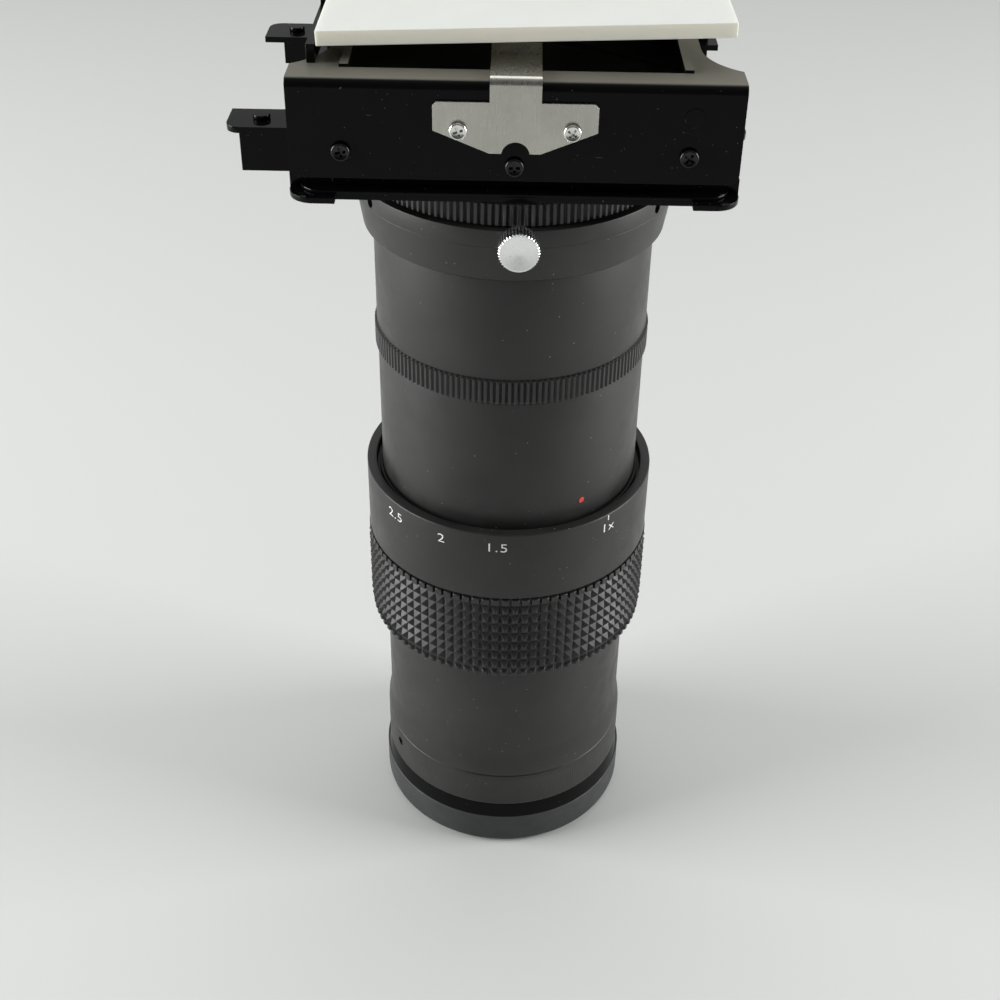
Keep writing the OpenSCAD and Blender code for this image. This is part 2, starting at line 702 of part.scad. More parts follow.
module stage_bracket() {
    flat_d = bracket_d - 2 * bend_r;
    lower_r = 1.8;
    face_y = bracket_d / 2;
    corner_z = flange_low + lower_r;
    color([0.05, 0.05, 0.05])
    difference() {
        union() {
            translate([0, 0, sheet_z + sheet_t / 2]) cube([bracket_w, flat_d, sheet_t], center = true);
            front_and_rear() {
                translate([-bracket_w / 2, -face_y, corner_z])
                    cube([bracket_w, sheet_t, top_z - bend_r - corner_z]);
                translate([-bracket_w / 2 + lower_r, -face_y, flange_low])
                    cube([bracket_w - 2 * lower_r, sheet_t, lower_r]);
                for (x = [-1, 1])
                    along_y(x * (bracket_w / 2 - lower_r), corner_z, lower_r, -face_y, -face_y + sheet_t);
                translate([-bracket_w / 2, -face_y + bend_r, top_z - bend_r]) rotate([90, 0, 90])
                    linear_extrude(bracket_w) intersection() {
                        difference() {
                            circle(r = bend_r, $fn = screw_fn);
                            circle(r = bend_r - sheet_t, $fn = screw_fn);
                        }
                        translate([-bend_r, 0]) square(bend_r);
                    }
                translate([0, 0, top_z]) for (x = [-1, 1])
                    translate([x * rib_x - rib_w / 2, -rib_l, -0.1]) cube([rib_w, rib_l, rib_h + 0.1]);
            }
        }
        translate([0, 0, sheet_z - 1]) linear_extrude(sheet_t + 2) {
            round_rect(window_w, window_d, 3);
            for (x = [-1, 1]) {
                for (y = [-1, 1]) translate([x * (notch_x + notch_r), y * notch_half]) circle(r = notch_r);
                translate([x * (notch_x + notch_r), 0]) square([2 * notch_r, 2 * notch_half], center = true);
            }
        }
        front_and_rear() {
            for (x = [-side_screw_x, side_screw_x])
                along_y(x, side_screw_z, bracket_screw_r + seat_gap, -face_y - 1, -face_y + 2);
            along_y(0, mid_screw_z, bracket_screw_r + seat_gap, -face_y - 1, -face_y + 2);
            for (x = [-clip_screw_x, clip_screw_x])
                along_y(x, clip_screw_z, clip_screw_r, -face_y - 1, -face_y + 2);
        }
        along_y(plug_x, plug_z, 1.5 + seat_gap, -face_y - 1, -face_y + 2);
    }
}

// A pan-head screw with a cross recess, its head against the plane y = -seat
module pan_screw(x, z, r, head_r, head_t, seat, tip) {
    difference() {
        union() {
            along_y(x, z, r, -seat, -tip);
            along_y(x, z, head_r, -seat - head_t, -seat);
        }
        translate([x, -seat - head_t, z]) rotate([0, 12, 0]) {
            cube([head_r * 1.3, head_t, head_r * 0.3], center = true);
            cube([head_r * 0.3, head_t, head_r * 1.3], center = true);
        }
    }
}

module bracket_screws() {
    face_y = bracket_d / 2;
    tip = bar_face_y - 1.8;
    thread = bracket_screw_r - seat_gap;
    color([0.08, 0.08, 0.08])
    front_and_rear() {
        for (x = [-side_screw_x, side_screw_x]) pan_screw(x, side_screw_z, thread, 1.5, 0.9, face_y, tip);
        pan_screw(0, mid_screw_z, thread, 1.5, 0.9, face_y, tip);
    }
}

module flange_plug() {
    face_y = bracket_d / 2;
    color([0.07, 0.07, 0.07]) along_y(plug_x, plug_z, 1.5, -face_y - 0.1, -face_y + sheet_t);
}

// A spring clip: a screwed plate on the flange and a tongue bent over the top
module slide_clip() {
    face_y = bracket_d / 2;
    half = clip_w / 2;
    bend = 1.2;
    tongue_low = top_z + 0.35;
    reach = 9.5;
    translate([0, -face_y, 0]) rotate([90, 0, 0]) linear_extrude(clip_t) difference() {
        polygon([[-half + 0.6, clip_top_z], [-half, clip_top_z - 0.6], [-half, top_z - 7.4],
            [-3.9, top_z - 10.9], [3.9, top_z - 10.9], [half, top_z - 7.4], [half, clip_top_z - 0.6],
            [half - 0.6, clip_top_z]]);
        translate([0, mid_screw_z + 0.9]) circle(r = 2.3, $fn = screw_fn);
        for (x = [-clip_screw_x, clip_screw_x])
            translate([x, clip_screw_z]) circle(r = clip_screw_r + seat_gap, $fn = screw_fn);
    }
    translate([-clip_tongue_w / 2, 0, 0]) {
        translate([0, -face_y - clip_t, clip_top_z - 0.5])
            cube([clip_tongue_w, clip_t, tongue_low + clip_t - bend - clip_top_z + 0.5]);
        translate([0, -face_y - clip_t + bend, tongue_low + clip_t - bend]) rotate([90, 0, 90])
            linear_extrude(clip_tongue_w) intersection() {
                difference() {
                    circle(r = bend, $fn = screw_fn);
                    circle(r = bend - clip_t, $fn = screw_fn);
                }
                translate([-bend, 0]) square(bend);
            }
        translate([0, -face_y - clip_t + bend, tongue_low]) cube([clip_tongue_w, reach, clip_t]);
        translate([0, -face_y - clip_t + bend + reach, tongue_low]) rotate([30, 0, 0])
            cube([clip_tongue_w, 2.6, clip_t]);
    }
}

module slide_clip_front() {
    color([0.69, 0.68, 0.63]) slide_clip();
}

module slide_clip_rear() {
    color([0.69, 0.68, 0.63]) mirror([0, 1, 0]) slide_clip();
}

module clip_screws() {
    seat = bracket_d / 2 + clip_t;
    color([0.8, 0.8, 0.78])
    front_and_rear() for (x = [-clip_screw_x, clip_screw_x])
        pan_screw(x, clip_screw_z, clip_screw_r - seat_gap, 1.4, 0.8, seat, seat - clip_t - sheet_t);
}

module carriage() {
    half_d = carriage_d / 2;
    left = carriage_x - carriage_l / 2;
    notch_d = carriage_d - 2 * arm_d;
    travel = carriage_left + carriage_right;
    color([0.06, 0.06, 0.06])
    difference() {
        union() {
            translate([carriage_x, 0, carriage_top - carriage_t]) linear_extrude(carriage_t)
                round_rect(carriage_l, carriage_d, arm_corner);
            front_and_rear() {
                translate([left + arm_corner, -half_d, carriage_low])
                    cube([carriage_l - 2 * arm_corner, carriage_t, carriage_h - carriage_t]);
            }
        }
        translate([carriage_x, 0, carriage_top - 2]) linear_extrude(4) {
            round_rect(carriage_window_w, carriage_window_d, 2);
            for (x = [-1, 1]) translate([x * carriage_l / 2, 0]) round_rect(2 * arm_l, notch_d, 3);
        }
        front_and_rear() {
            for (x = [-side_screw_x, side_screw_x]) {
                for (e = [-carriage_right, carriage_left])
                    along_y(x + e, side_screw_z, slot_r, -half_d - 1, -half_d + carriage_t + 1);
                translate([x - carriage_right, -half_d - 1, side_screw_z - slot_r])
                    cube([travel, carriage_t + 2, 2 * slot_r]);
            }
            translate([-carriage_right - slot_r, -half_d - 1, carriage_low - 1])
                cube([travel + 2 * slot_r, carriage_t + 2, mid_screw_z + slot_r - carriage_low + 1]);
        }
    }
}

module carriage_studs() {
    stud_x = carriage_l / 2 - 5.2;
    stud_y = (carriage_d - arm_d) / 2;
    color([0.06, 0.06, 0.06])
    for (x = [-1, 1], y = [-1, 1]) translate([carriage_x + x * stud_x, y * stud_y, carriage_top])
        cylinder(h = 0.8, r = stud_r, $fn = screw_fn);
}

// The hinge's knuckle number i, counted from the front
module knuckle(i) {
    start = knuckle_y + i * knuckle_l;
    along_y(hinge_x, hinge_z, knuckle_r, start, start + knuckle_l - face_gap);
}

module hinge_rail() {
    color([0.08, 0.08, 0.08])
    difference() {
        union() {
            translate([hinge_x - rail_w / 2, rail_front, top_z])
                cube([rail_w, rail_back - rail_front, rail_h]);
            for (i = [0, 2]) {
                translate([hinge_x - rail_w / 2, knuckle_y + i * knuckle_l, top_z + rail_h - 0.1])
                    cube([rail_w, knuckle_l - face_gap, 0.6]);
                knuckle(i);
            }
        }
        along_y(hinge_x, hinge_z, pin_r + seat_gap / 2, knuckle_y - 1, knuckle_y + 4 * knuckle_l);
    }
}

module hinge_pin() {
    color([0.6, 0.6, 0.58]) along_y(hinge_x, hinge_z, pin_r, knuckle_y, knuckle_y + 4 * knuckle_l - face_gap);
}

// Turns the flap's pieces about the hinge from level to their rest tilt
module tilted() {
    translate([hinge_x, 0, hinge_z]) rotate([0, -flap_tilt, 0]) translate([-hinge_x, 0, -hinge_z]) children();
}

module opal_flap() {
    color([0.87, 0.88, 0.85])
    tilted() difference() {
        union() {
            translate([flap_x, flap_front, flap_low]) cube([flap_w, flap_d, flap_t]);
            for (i = [1, 3]) {
                knuckle(i);
                translate([hinge_x, knuckle_y + i * knuckle_l, hinge_z - 0.6])
                    cube([flap_x - hinge_x + 1, knuckle_l - face_gap, 1.2]);
            }
        }
        along_y(hinge_x, hinge_z, pin_r + run_gap, knuckle_y - 1, knuckle_y + 4 * knuckle_l + 1);
    }
}

rear_cap();
mount_ring();
adapter_ring();
adapter_set_screws();
rear_tube();
bearing_ring();
zoom_ring();
grip_ring();
front_tube();
index_dot();
lock_ring();
extension_tube();
stage_collar();
collar_set_screws();
thumbscrew();
lens_cell();
front_element();
rear_element();
retaining_rings();
aperture_stop();
rotation_ring();
ring_screws();
stage_tray();
shift_plate();
guide_bars();
stage_bracket();
bracket_screws();
flange_plug();
slide_clip_front();
slide_clip_rear();
clip_screws();
carriage();
carriage_studs();
hinge_rail();
hinge_pin();
opal_flap();
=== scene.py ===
"""A zoom slide duplicator in its real finishes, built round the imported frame.

Every size is in metres, in the frame's own axes: +Z runs up the barrel to the slide stage,
-Y is the front, where the thumbscrew is, and +X is to the right of the front.
"""

import logging
import math
from collections.abc import Callable, Iterable, Sequence
from dataclasses import dataclass
from enum import Enum

import bmesh
import bpy
from mathutils import Matrix, Vector


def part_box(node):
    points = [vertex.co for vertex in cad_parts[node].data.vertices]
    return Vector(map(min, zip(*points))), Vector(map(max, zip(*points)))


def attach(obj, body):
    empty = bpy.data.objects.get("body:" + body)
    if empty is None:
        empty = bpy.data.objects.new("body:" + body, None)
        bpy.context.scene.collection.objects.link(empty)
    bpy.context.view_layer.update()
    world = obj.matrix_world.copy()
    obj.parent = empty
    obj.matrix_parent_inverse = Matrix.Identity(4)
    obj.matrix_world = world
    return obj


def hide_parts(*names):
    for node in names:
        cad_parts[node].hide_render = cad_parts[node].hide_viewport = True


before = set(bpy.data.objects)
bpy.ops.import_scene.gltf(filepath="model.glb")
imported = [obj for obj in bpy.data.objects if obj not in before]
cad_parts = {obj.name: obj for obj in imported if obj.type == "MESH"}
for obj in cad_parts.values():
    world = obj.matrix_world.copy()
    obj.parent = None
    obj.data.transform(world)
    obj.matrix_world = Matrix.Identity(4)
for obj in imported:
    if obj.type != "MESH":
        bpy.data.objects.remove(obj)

LOG = logging.getLogger("slide_duplicator")
MM = 0.001
# The bore of the bearing ring and of the zoom ring's foot, which clears the tubes in them.
RUNNING_BORE = 24.66 * MM
# How much wider the painted digits are than in Blender's own font.
DIGIT_WIDTH = 1.18

Outline = list[tuple[float, float]]
Colour = tuple[float, float, float]
Relief = Callable[[float, float, float], float]


class Body(str, Enum):
    """The moving groups that a piece can ride on."""

    BARREL = "barrel"
    CAP = "cap"
    ZOOM = "zoom"
    FRONT = "front_barrel"
    LENS = "lens"
    LOCK = "lock"
    THUMB = "thumb"
    STAGE = "stage"
    SHIFT = "shift"
    CARRIAGE = "carriage"
    FLAP = "flap"


class Slot(str, Enum):
    """The record's material slots."""

    CAP = "cap_plastic"
    GLOSS = "gloss_black"
    SATIN = "satin_black"
    BEARING = "bearing_black"
    DARK_SCREW = "dark_screw"
    GRIP = "grip_rubber"
    RED = "red_paint"
    BRIGHT = "bright_aluminium"
    GLASS = "lens_glass"
    SHEET = "black_sheet"
    BLACK_SCREW = "black_screw"
    SPRING = "spring_steel"
    CHROME = "chrome_screw"
    OPAL = "opal_plastic"


# ---------------------------------------------------------------- finishes


class Bench:
    """A small helper that wires one material's nodes."""

    def __init__(self, name: str) -> None:
        """Starts a material with a Principled shader.

        Args:
            name: The material's name.
        """
        self.material = bpy.data.materials.new(name)
        self.material.use_nodes = True
        self.tree = self.material.node_tree
        self.shader = self.tree.nodes["Principled BSDF"]
        self.coords = self.add("ShaderNodeTexCoord")

    def add(self, kind: str, **values: object) -> bpy.types.Node:
        """Adds a node and sets its sockets or properties.

        Args:
            kind: The node's type name.
            values: Socket names, with _ for a space, or property names, and their values.

        Returns:
            The new node.
        """
        node = self.tree.nodes.new(kind)
        for key, value in values.items():
            socket = key.replace("_", " ")
            if socket in node.inputs:
                node.inputs[socket].default_value = value
            else:
                setattr(node, key, value)
        return node

    def link(self, source: bpy.types.NodeSocket, target: bpy.types.NodeSocket) -> None:
        """Joins two sockets."""
        self.tree.links.new(source, target)

    def set(self, **values: object) -> None:
        """Sets or feeds the shader's own sockets, by name with _ for a space.

        Args:
            values: A constant, or the socket that feeds it, for each.
        """
        for key, value in values.items():
            target = self.shader.inputs[key.replace("_", " ")]
            if isinstance(value, bpy.types.NodeSocket):
                self.link(value, target)
            else:
                target.default_value = value

    def noise(self, scale: float, detail: float = 3.0,
              stretch: Sequence[float] = (1, 1, 1)) -> bpy.types.NodeSocket:
        """Adds a noise texture in the piece's own coordinates.

        Args:
            scale: Features per metre.
            detail: Octaves of finer noise.
            stretch: Scale along X, Y and Z, for streaks.

        Returns:
            The noise's value socket.
        """
        mapping = self.add("ShaderNodeMapping", Scale=stretch)
        texture = self.add("ShaderNodeTexNoise", Scale=scale, Detail=detail)
        self.link(self.coords.outputs["Object"], mapping.inputs["Vector"])
        self.link(mapping.outputs["Vector"], texture.inputs["Vector"])
        return texture.outputs["Fac"]

    def remap(self, source: bpy.types.NodeSocket, low: float, high: float, to_low: float = 0.0,
              to_high: float = 1.0) -> bpy.types.NodeSocket:
        """Maps a value from one span to another, held within it.

        Args:
            source: The value to map.
            low: The value that becomes to_low.
            high: The value that becomes to_high.
            to_low: The lowest result.
            to_high: The highest result.

        Returns:
            The mapped value's socket.
        """
        node = self.add("ShaderNodeMapRange", clamp=True)
        node.inputs["From Min"].default_value = low
        node.inputs["From Max"].default_value = high
        node.inputs["To Min"].default_value = to_low
        node.inputs["To Max"].default_value = to_high
        self.link(source, node.inputs["Value"])
        return node.outputs["Result"]

    def blend(self, factor: bpy.types.NodeSocket, first: object, second: object) -> bpy.types.NodeSocket:
        """Mixes two colours.

        Args:
            factor: The share of the second colour.
            first: A colour, or a socket that gives one.
            second: A colour, or a socket that gives one.

        Returns:
            The mixed colour's socket.
        """
        node = self.add("ShaderNodeMix", data_type="RGBA")
        self.link(factor, node.inputs[0])
        for place, value in ((6, first), (7, second)):
            if isinstance(value, bpy.types.NodeSocket):
                self.link(value, node.inputs[place])
            else:
                node.inputs[place].default_value = (*value, 1.0)
        return node.outputs[2]

    def larger(self, first: bpy.types.NodeSocket, second: bpy.types.NodeSocket) -> bpy.types.NodeSocket:
        """Returns a socket with the larger of two values."""
        node = self.add("ShaderNodeMath", operation="MAXIMUM")
        self.link(first, node.inputs[0])
        self.link(second, node.inputs[1])
        return node.outputs[0]

    def times(self, first: bpy.types.NodeSocket, second: object) -> bpy.types.NodeSocket:
        """Returns a socket with the product of a value and another value or number."""
        node = self.add("ShaderNodeMath", operation="MULTIPLY")
        self.link(first, node.inputs[0])
        if isinstance(second, bpy.types.NodeSocket):
            self.link(second, node.inputs[1])
        else:
            node.inputs[1].default_value = second
        return node.outputs[0]

    def specks(self, scale: float, share: float) -> bpy.types.NodeSocket:
        """Adds small scattered round specks.

        Args:
            scale: Cells per metre, of which some hold a speck.
            share: How much of the surface the specks take, from 0 to 1.

        Returns:
            A mask that is 1 in a speck.
        """
        cells = self.add("ShaderNodeTexVoronoi", Scale=scale)
        self.link(self.coords.outputs["Object"], cells.inputs["Vector"])
        near = self.remap(cells.outputs["Distance"], 0.10, 0.20, 1.0, 0.0)
        picked = self.add("ShaderNodeSeparateColor")
        self.link(cells.outputs["Color"], picked.inputs[0])
        chosen = self.remap(picked.outputs[0], 1.0 - share, 1.0 - share + 0.01)
        return self.times(near, chosen)

    def edges(self, radius: float, low: float = 0.02, high: float = 0.35) -> bpy.types.NodeSocket:
        """Finds the piece's sharp edges, where a finish wears.

        Args:
            radius: How far from an edge the mask reaches.
            low: The bend at which the mask starts.
            high: The bend at which it is full.

        Returns:
            A mask that is 1 at an edge.
        """
        bevel = self.add("ShaderNodeBevel", samples=4, Radius=radius)
        plain = self.add("ShaderNodeNewGeometry")
        dot = self.add("ShaderNodeVectorMath", operation="DOT_PRODUCT")
        self.link(bevel.outputs[0], dot.inputs[0])
        self.link(plain.outputs["Normal"], dot.inputs[1])
        return self.remap(dot.outputs["Value"], 1.0 - low, 1.0 - high)

    def bump(self, height: bpy.types.NodeSocket, depth: float, strength: float = 1.0) -> None:
        """Adds relief to the shader's normal, over any relief that is there.

        Args:
            height: The relief's height, from 0 to 1.
            depth: The relief's depth in metres.
            strength: How much of it is used.
        """
        node = self.add("ShaderNodeBump", Strength=strength, Distance=depth)
        self.link(height, node.inputs["Height"])
        normal = self.shader.inputs["Normal"]
        if normal.links:
            self.link(normal.links[0].from_socket, node.inputs["Normal"])
        self.link(node.outputs[0], normal)


@dataclass(frozen=True)
class Anodised:
    """Satin black anodised metal, with a fine grain, dust and paler edges."""

    name: str
    colour: Colour = (0.013, 0.013, 0.0125)
    roughness: float = 0.40
    grain: float = 5200.0
    dust: float = 0.03

    def material(self) -> bpy.types.Material:
        """Returns the finish as a material."""
        bench = Bench(self.name)
        bench.set(Specular_IOR_Level=0.38)
        lighter = tuple(min(1.0, c * 1.35 + 0.003) for c in self.colour)
        worn = tuple(c * 2.2 + 0.02 for c in self.colour)
        cloud = bench.remap(bench.noise(55.0, 4.0), 0.35, 0.7)
        base = bench.blend(cloud, self.colour, lighter)
        base = bench.blend(bench.times(bench.edges(0.25 * MM), 0.55), base, worn)
        dusty = bench.specks(1500.0, self.dust)
        base = bench.blend(bench.times(dusty, 0.6), base, (0.32, 0.32, 0.30))
        bench.set(Base_Color=base)
        rough = bench.remap(bench.noise(240.0, 4.0), 0.3, 0.7, self.roughness - 0.06, self.roughness + 0.07)
        bench.set(Roughness=rough)
        bench.bump(bench.noise(self.grain, 2.0), 0.012 * MM, 0.7)
        return bench.material


@dataclass(frozen=True)
class Enamel:
    """Glossy black enamelled sheet, with dust, scratches, orange peel and, if asked, a painted reflection on
    its level faces.
    """

    name: str
    colour: Colour = (0.0028, 0.0028, 0.0029)
    roughness: float = 0.13
    dust: float = 0.02
    # How strongly the level faces carry a painted reflection: an olive-grey tint that stands for the opal
    # flap's pale underside mirrored in them.
    painted_reflection: float = 0.0

    def material(self) -> bpy.types.Material:
        """Returns the finish as a material."""
        bench = Bench(self.name)
        bench.set(Specular_IOR_Level=0.10)
        dusty = bench.larger(bench.specks(1150.0, self.dust), bench.specks(2400.0, self.dust * 1.8))
        hairs = bench.noise(260.0, 1.0, (1.0, 1.0, 9.0))
        fine = bench.noise(190.0, 1.0, (8.0, 1.0, 1.3))
        scratch = bench.larger(bench.remap(hairs, 0.80, 0.815), bench.remap(fine, 0.79, 0.805))
        marks = bench.larger(dusty, bench.times(scratch, 0.4))
        # Painted reflection: faces that point up are blended towards olive grey, patchy with noise, in place
        # of the flap's underside that they mirror. They are also made rougher.
        apart = bench.add("ShaderNodeSeparateXYZ")
        bench.link(bench.coords.outputs["Normal"], apart.inputs[0])
        level = bench.remap(apart.outputs["Z"], 0.90, 0.995, 0.0, self.painted_reflection)
        painted_reflection_mask = bench.times(level, bench.remap(bench.noise(60.0, 4.0), 0.25, 0.7, 0.82, 1.0))
        base = bench.blend(painted_reflection_mask, self.colour, (0.19, 0.182, 0.150))
        base = bench.blend(bench.times(marks, 0.45), base, (0.22, 0.22, 0.21))
        base = bench.blend(bench.times(bench.edges(0.12 * MM), 0.3), base, (0.05, 0.05, 0.05))
        bench.set(Base_Color=base)
        smear = bench.remap(bench.noise(70.0, 5.0), 0.35, 0.75, self.roughness - 0.05, self.roughness + 0.09)
        lifted = bench.add("ShaderNodeMath", operation="ADD")
        bench.link(smear, lifted.inputs[0])
        bench.link(bench.times(bench.larger(marks, level), 0.3), lifted.inputs[1])
        bench.set(Roughness=lifted.outputs[0])
        bench.bump(bench.noise(420.0, 2.0), 0.01 * MM, 0.35)
        return bench.material


@dataclass(frozen=True)
class Moulded:
    """Matt moulded plastic or rubber with a fine even grain."""

    name: str
    colour: Colour
    roughness: float = 0.62
    grain: float = 3200.0
    relief: float = 0.03 * MM
    gloss: float = 0.4

    def material(self) -> bpy.types.Material:
        """Returns the finish as a material."""
        bench = Bench(self.name)
        bench.set(Specular_IOR_Level=self.gloss)
        paler = tuple(c * 1.7 + 0.006 for c in self.colour)
        cloud = bench.remap(bench.noise(90.0, 4.0), 0.35, 0.7)
        base = bench.blend(bench.times(cloud, 0.5), self.colour, paler)
        base = bench.blend(bench.times(bench.edges(0.22 * MM), 0.6), base, paler)
        base = bench.blend(bench.times(bench.specks(1300.0, 0.015), 0.6), base, (0.25, 0.25, 0.24))
        bench.set(Base_Color=base)
        rough = bench.remap(bench.noise(400.0, 3.0), 0.3, 0.7, self.roughness - 0.06, self.roughness + 0.08)
        bench.set(Roughness=rough)
        bench.bump(bench.noise(self.grain, 2.0), self.relief, 0.6)
        return bench.material


@dataclass(frozen=True)
class Metal:
    """Bare or plated metal with a brushed or polished surface."""

    name: str
    colour: Colour
    roughness: float
    stretch: tuple[float, float, float] = (1.0, 1.0, 1.0)
    streaks: float = 1800.0
    relief: float = 0.004 * MM

    def material(self) -> bpy.types.Material:
        """Returns the finish as a material."""
        bench = Bench(self.name)
        bench.set(Metallic=1.0)
        duller = tuple(c * 0.8 for c in self.colour)
        cloud = bench.remap(bench.noise(160.0, 4.0), 0.35, 0.7)
        base = bench.blend(bench.times(cloud, 0.6), self.colour, duller)
        spots = bench.specks(1100.0, 0.02)
        base = bench.blend(bench.times(spots, 0.5), base, tuple(c * 0.35 for c in self.colour))
        bench.set(Base_Color=base)
        brushed = bench.noise(self.streaks, 2.0, self.stretch)
        rough = bench.remap(brushed, 0.3, 0.7, self.roughness * 0.75, self.roughness * 1.3)
        bench.set(Roughness=rough)
        bench.bump(brushed, self.relief, 0.6)
        return bench.material


@dataclass(frozen=True)
class Opal:
    """Opal white acrylic with painted light: a cooler, lighter white on its upward faces and a warmer,
    slightly darker one on its sides and underside.
    """

    name: str
    # The colour of the lit upward faces, and the painted warmer colour of the sides and underside.
    face: Colour = (0.80, 0.82, 0.78)
    edge: Colour = (0.80, 0.78, 0.68)

    def material(self) -> bpy.types.Material:
        """Returns the finish as a material."""
        bench = Bench(self.name)
        # Painted light: the upward faces take the lit face colour, and the sides and underside take the
        # warmer edge colour, which stands for light passed through the sheet.
        apart = bench.add("ShaderNodeSeparateXYZ")
        bench.link(bench.coords.outputs["Normal"], apart.inputs[0])
        flat = bench.remap(apart.outputs["Z"], 0.35, 0.8)
        base = bench.blend(flat, self.edge, self.face)
        cloud = bench.remap(bench.noise(45.0, 3.0), 0.3, 0.75)
        base = bench.blend(bench.times(cloud, 0.10), base, (0.70, 0.72, 0.66))
        base = bench.blend(bench.times(bench.specks(420.0, 0.02), 0.35), base, (0.42, 0.42, 0.38))
        bench.set(Base_Color=base)
        rough = bench.remap(bench.noise(150.0, 4.0), 0.3, 0.7, 0.30, 0.42)
        bench.set(Roughness=rough)
        bench.set(Subsurface_Weight=0.35, Subsurface_Scale=1.5 * MM,
                  Subsurface_Radius=(1.0, 0.95, 0.8))
        bench.bump(bench.noise(900.0, 2.0), 0.006 * MM, 0.5)
        return bench.material


@dataclass(frozen=True)
class CoatedGlass:
    """Lens glass with a bluish coating and a little dust."""

    name: str

    def material(self) -> bpy.types.Material:
        """Returns the finish as a material."""
        bench = Bench(self.name)
        bench.set(Transmission_Weight=1.0, IOR=1.6, Coat_Weight=0.6, Coat_Roughness=0.03,
                  Coat_Tint=(0.55, 0.45, 1.0, 1.0))
        dusty = bench.specks(900.0, 0.02)
        base = bench.blend(dusty, (0.93, 0.95, 1.0), (0.6, 0.6, 0.6))
        bench.set(Base_Color=base)
        bench.set(Roughness=bench.remap(dusty, 0.0, 1.0, 0.02, 0.4))
        return bench.material


@dataclass(frozen=True)
class Paint:
    """Filled-in paint of the scale numbers and the index dot."""

    name: str
    colour: Colour

    def material(self) -> bpy.types.Material:
        """Returns the finish as a material."""
        bench = Bench(self.name)
        thin = tuple(c * 0.72 for c in self.colour)
        patchy = bench.remap(bench.noise(2600.0, 3.0), 0.4, 0.7)
        bench.set(Base_Color=bench.blend(patchy, self.colour, thin))
        bench.set(Roughness=bench.remap(patchy, 0.0, 1.0, 0.45, 0.6))
        bench.bump(bench.noise(4000.0, 2.0), 0.01 * MM, 0.5)
        return bench.material


# ---------------------------------------------------------------- mesh tools


def eased(outline: Outline, radius: float, steps: int = 3) -> Outline:
    """Rounds every corner of a closed outline.

    Args:
        outline: The corner points, in order.
        radius: The rounding, less where a side is too short for it.
        steps: Segments in each rounded corner.

    Returns:
        The rounded outline.
    """
    points: Outline = []
    count = len(outline)
    for i, corner in enumerate(outline):
        here = Vector(corner)
        before = Vector(outline[i - 1]) - here
        after = Vector(outline[(i + 1) % count]) - here
        bend = before.angle(after, math.pi)
        reach = min(radius / max(math.tan(bend / 2), 0.2), 0.45 * before.length, 0.45 * after.length)
        if bend > math.radians(172) or abs(here.x) < 1e-7:
            points.append(corner)
            continue
        start = here + before.normalized() * reach
        stop = here + after.normalized() * reach
        for k in range(steps + 1):
            t = k / steps
            spot = start * (1 - t) ** 2 + here * 2 * t * (1 - t) + stop * t ** 2
            points.append((spot.x, spot.y))
    return points


def placed(name: str, data: bpy.types.ID) -> bpy.types.Object:
    """Makes an object and puts it in the scene.

    Args:
        name: The object's name.
        data: Its mesh, text, camera or light.

    Returns:
        The new object.
    """
    piece = bpy.data.objects.new(name, data)
    bpy.context.scene.collection.objects.link(piece)
    return piece


def stored(name: str, bench: bmesh.types.BMesh) -> bpy.types.Mesh:
    """Turns a working mesh into a stored one, and frees it.

    Args:
        name: The mesh's name.
        bench: The working mesh, which is used up.

    Returns:
        The new mesh.
    """
    mesh = bpy.data.meshes.new(name)
    bench.to_mesh(mesh)
    bench.free()
    return mesh


def finished_mesh(name: str, vertices: Sequence[Sequence[float]], faces: Sequence[Sequence[int]],
                  crease: float = 35.0) -> bpy.types.Object:
    """Makes an object from vertices and faces, smooth except at its creases.

    Args:
        name: The piece's name.
        vertices: The points, in metres.
        faces: Lists of point numbers.
        crease: The bend in degrees at which an edge stays sharp.

    Returns:
        The new object, in the scene.
    """
    mesh = bpy.data.meshes.new(name)
    mesh.from_pydata([tuple(v) for v in vertices], [], [tuple(f) for f in faces])
    return shaded(name, mesh, crease)


def shaded(name: str, mesh: bpy.types.Mesh, crease: float = 35.0) -> bpy.types.Object:
    """Cleans a mesh, shades it and puts it in the scene.

    Args:
        name: The piece's name.
        mesh: Its mesh.
        crease: The bend in degrees at which an edge stays sharp.

    Returns:
        The new object.
    """
    bench = bmesh.new()
    bench.from_mesh(mesh)
    bmesh.ops.remove_doubles(bench, verts=bench.verts, dist=1e-8)
    bmesh.ops.recalc_face_normals(bench, faces=bench.faces)
    bench.to_mesh(mesh)
    bench.free()
    mesh.validate()
    mesh.polygons.foreach_set("use_smooth", [True] * len(mesh.polygons))
    mesh.set_sharp_from_angle(angle=math.radians(crease))
    return placed(name, mesh)


def turned(name: str, outline: Outline, segments: int = 192, relief: Relief | None = None,
           crease: float = 35.0) -> bpy.types.Object:
    """Turns a closed outline about the barrel's axis.

    Args:
        name: The piece's name.
        outline: Points of (radius, height).
        segments: Steps round the axis.
        relief: Gives the change of radius at a radius, height and angle, or None.
        crease: The bend in degrees at which an edge stays sharp.

    Returns:
        The new object.
    """
    vertices: list[tuple[float, float, float]] = []
    for step in range(segments):
        angle = 2 * math.pi * step / segments
        for radius, height in outline:
            r = radius + (relief(radius, height, angle) if relief else 0.0)
            vertices.append((r * math.cos(angle), r * math.sin(angle), height))
    rows = len(outline)
    faces = []
    for step in range(segments):
        here, there = step * rows, (step + 1) % segments * rows
        for k in range(rows):
            up = (k + 1) % rows
            faces.append((here + k, there + k, there + up, here + up))
    return finished_mesh(name, vertices, faces, crease)


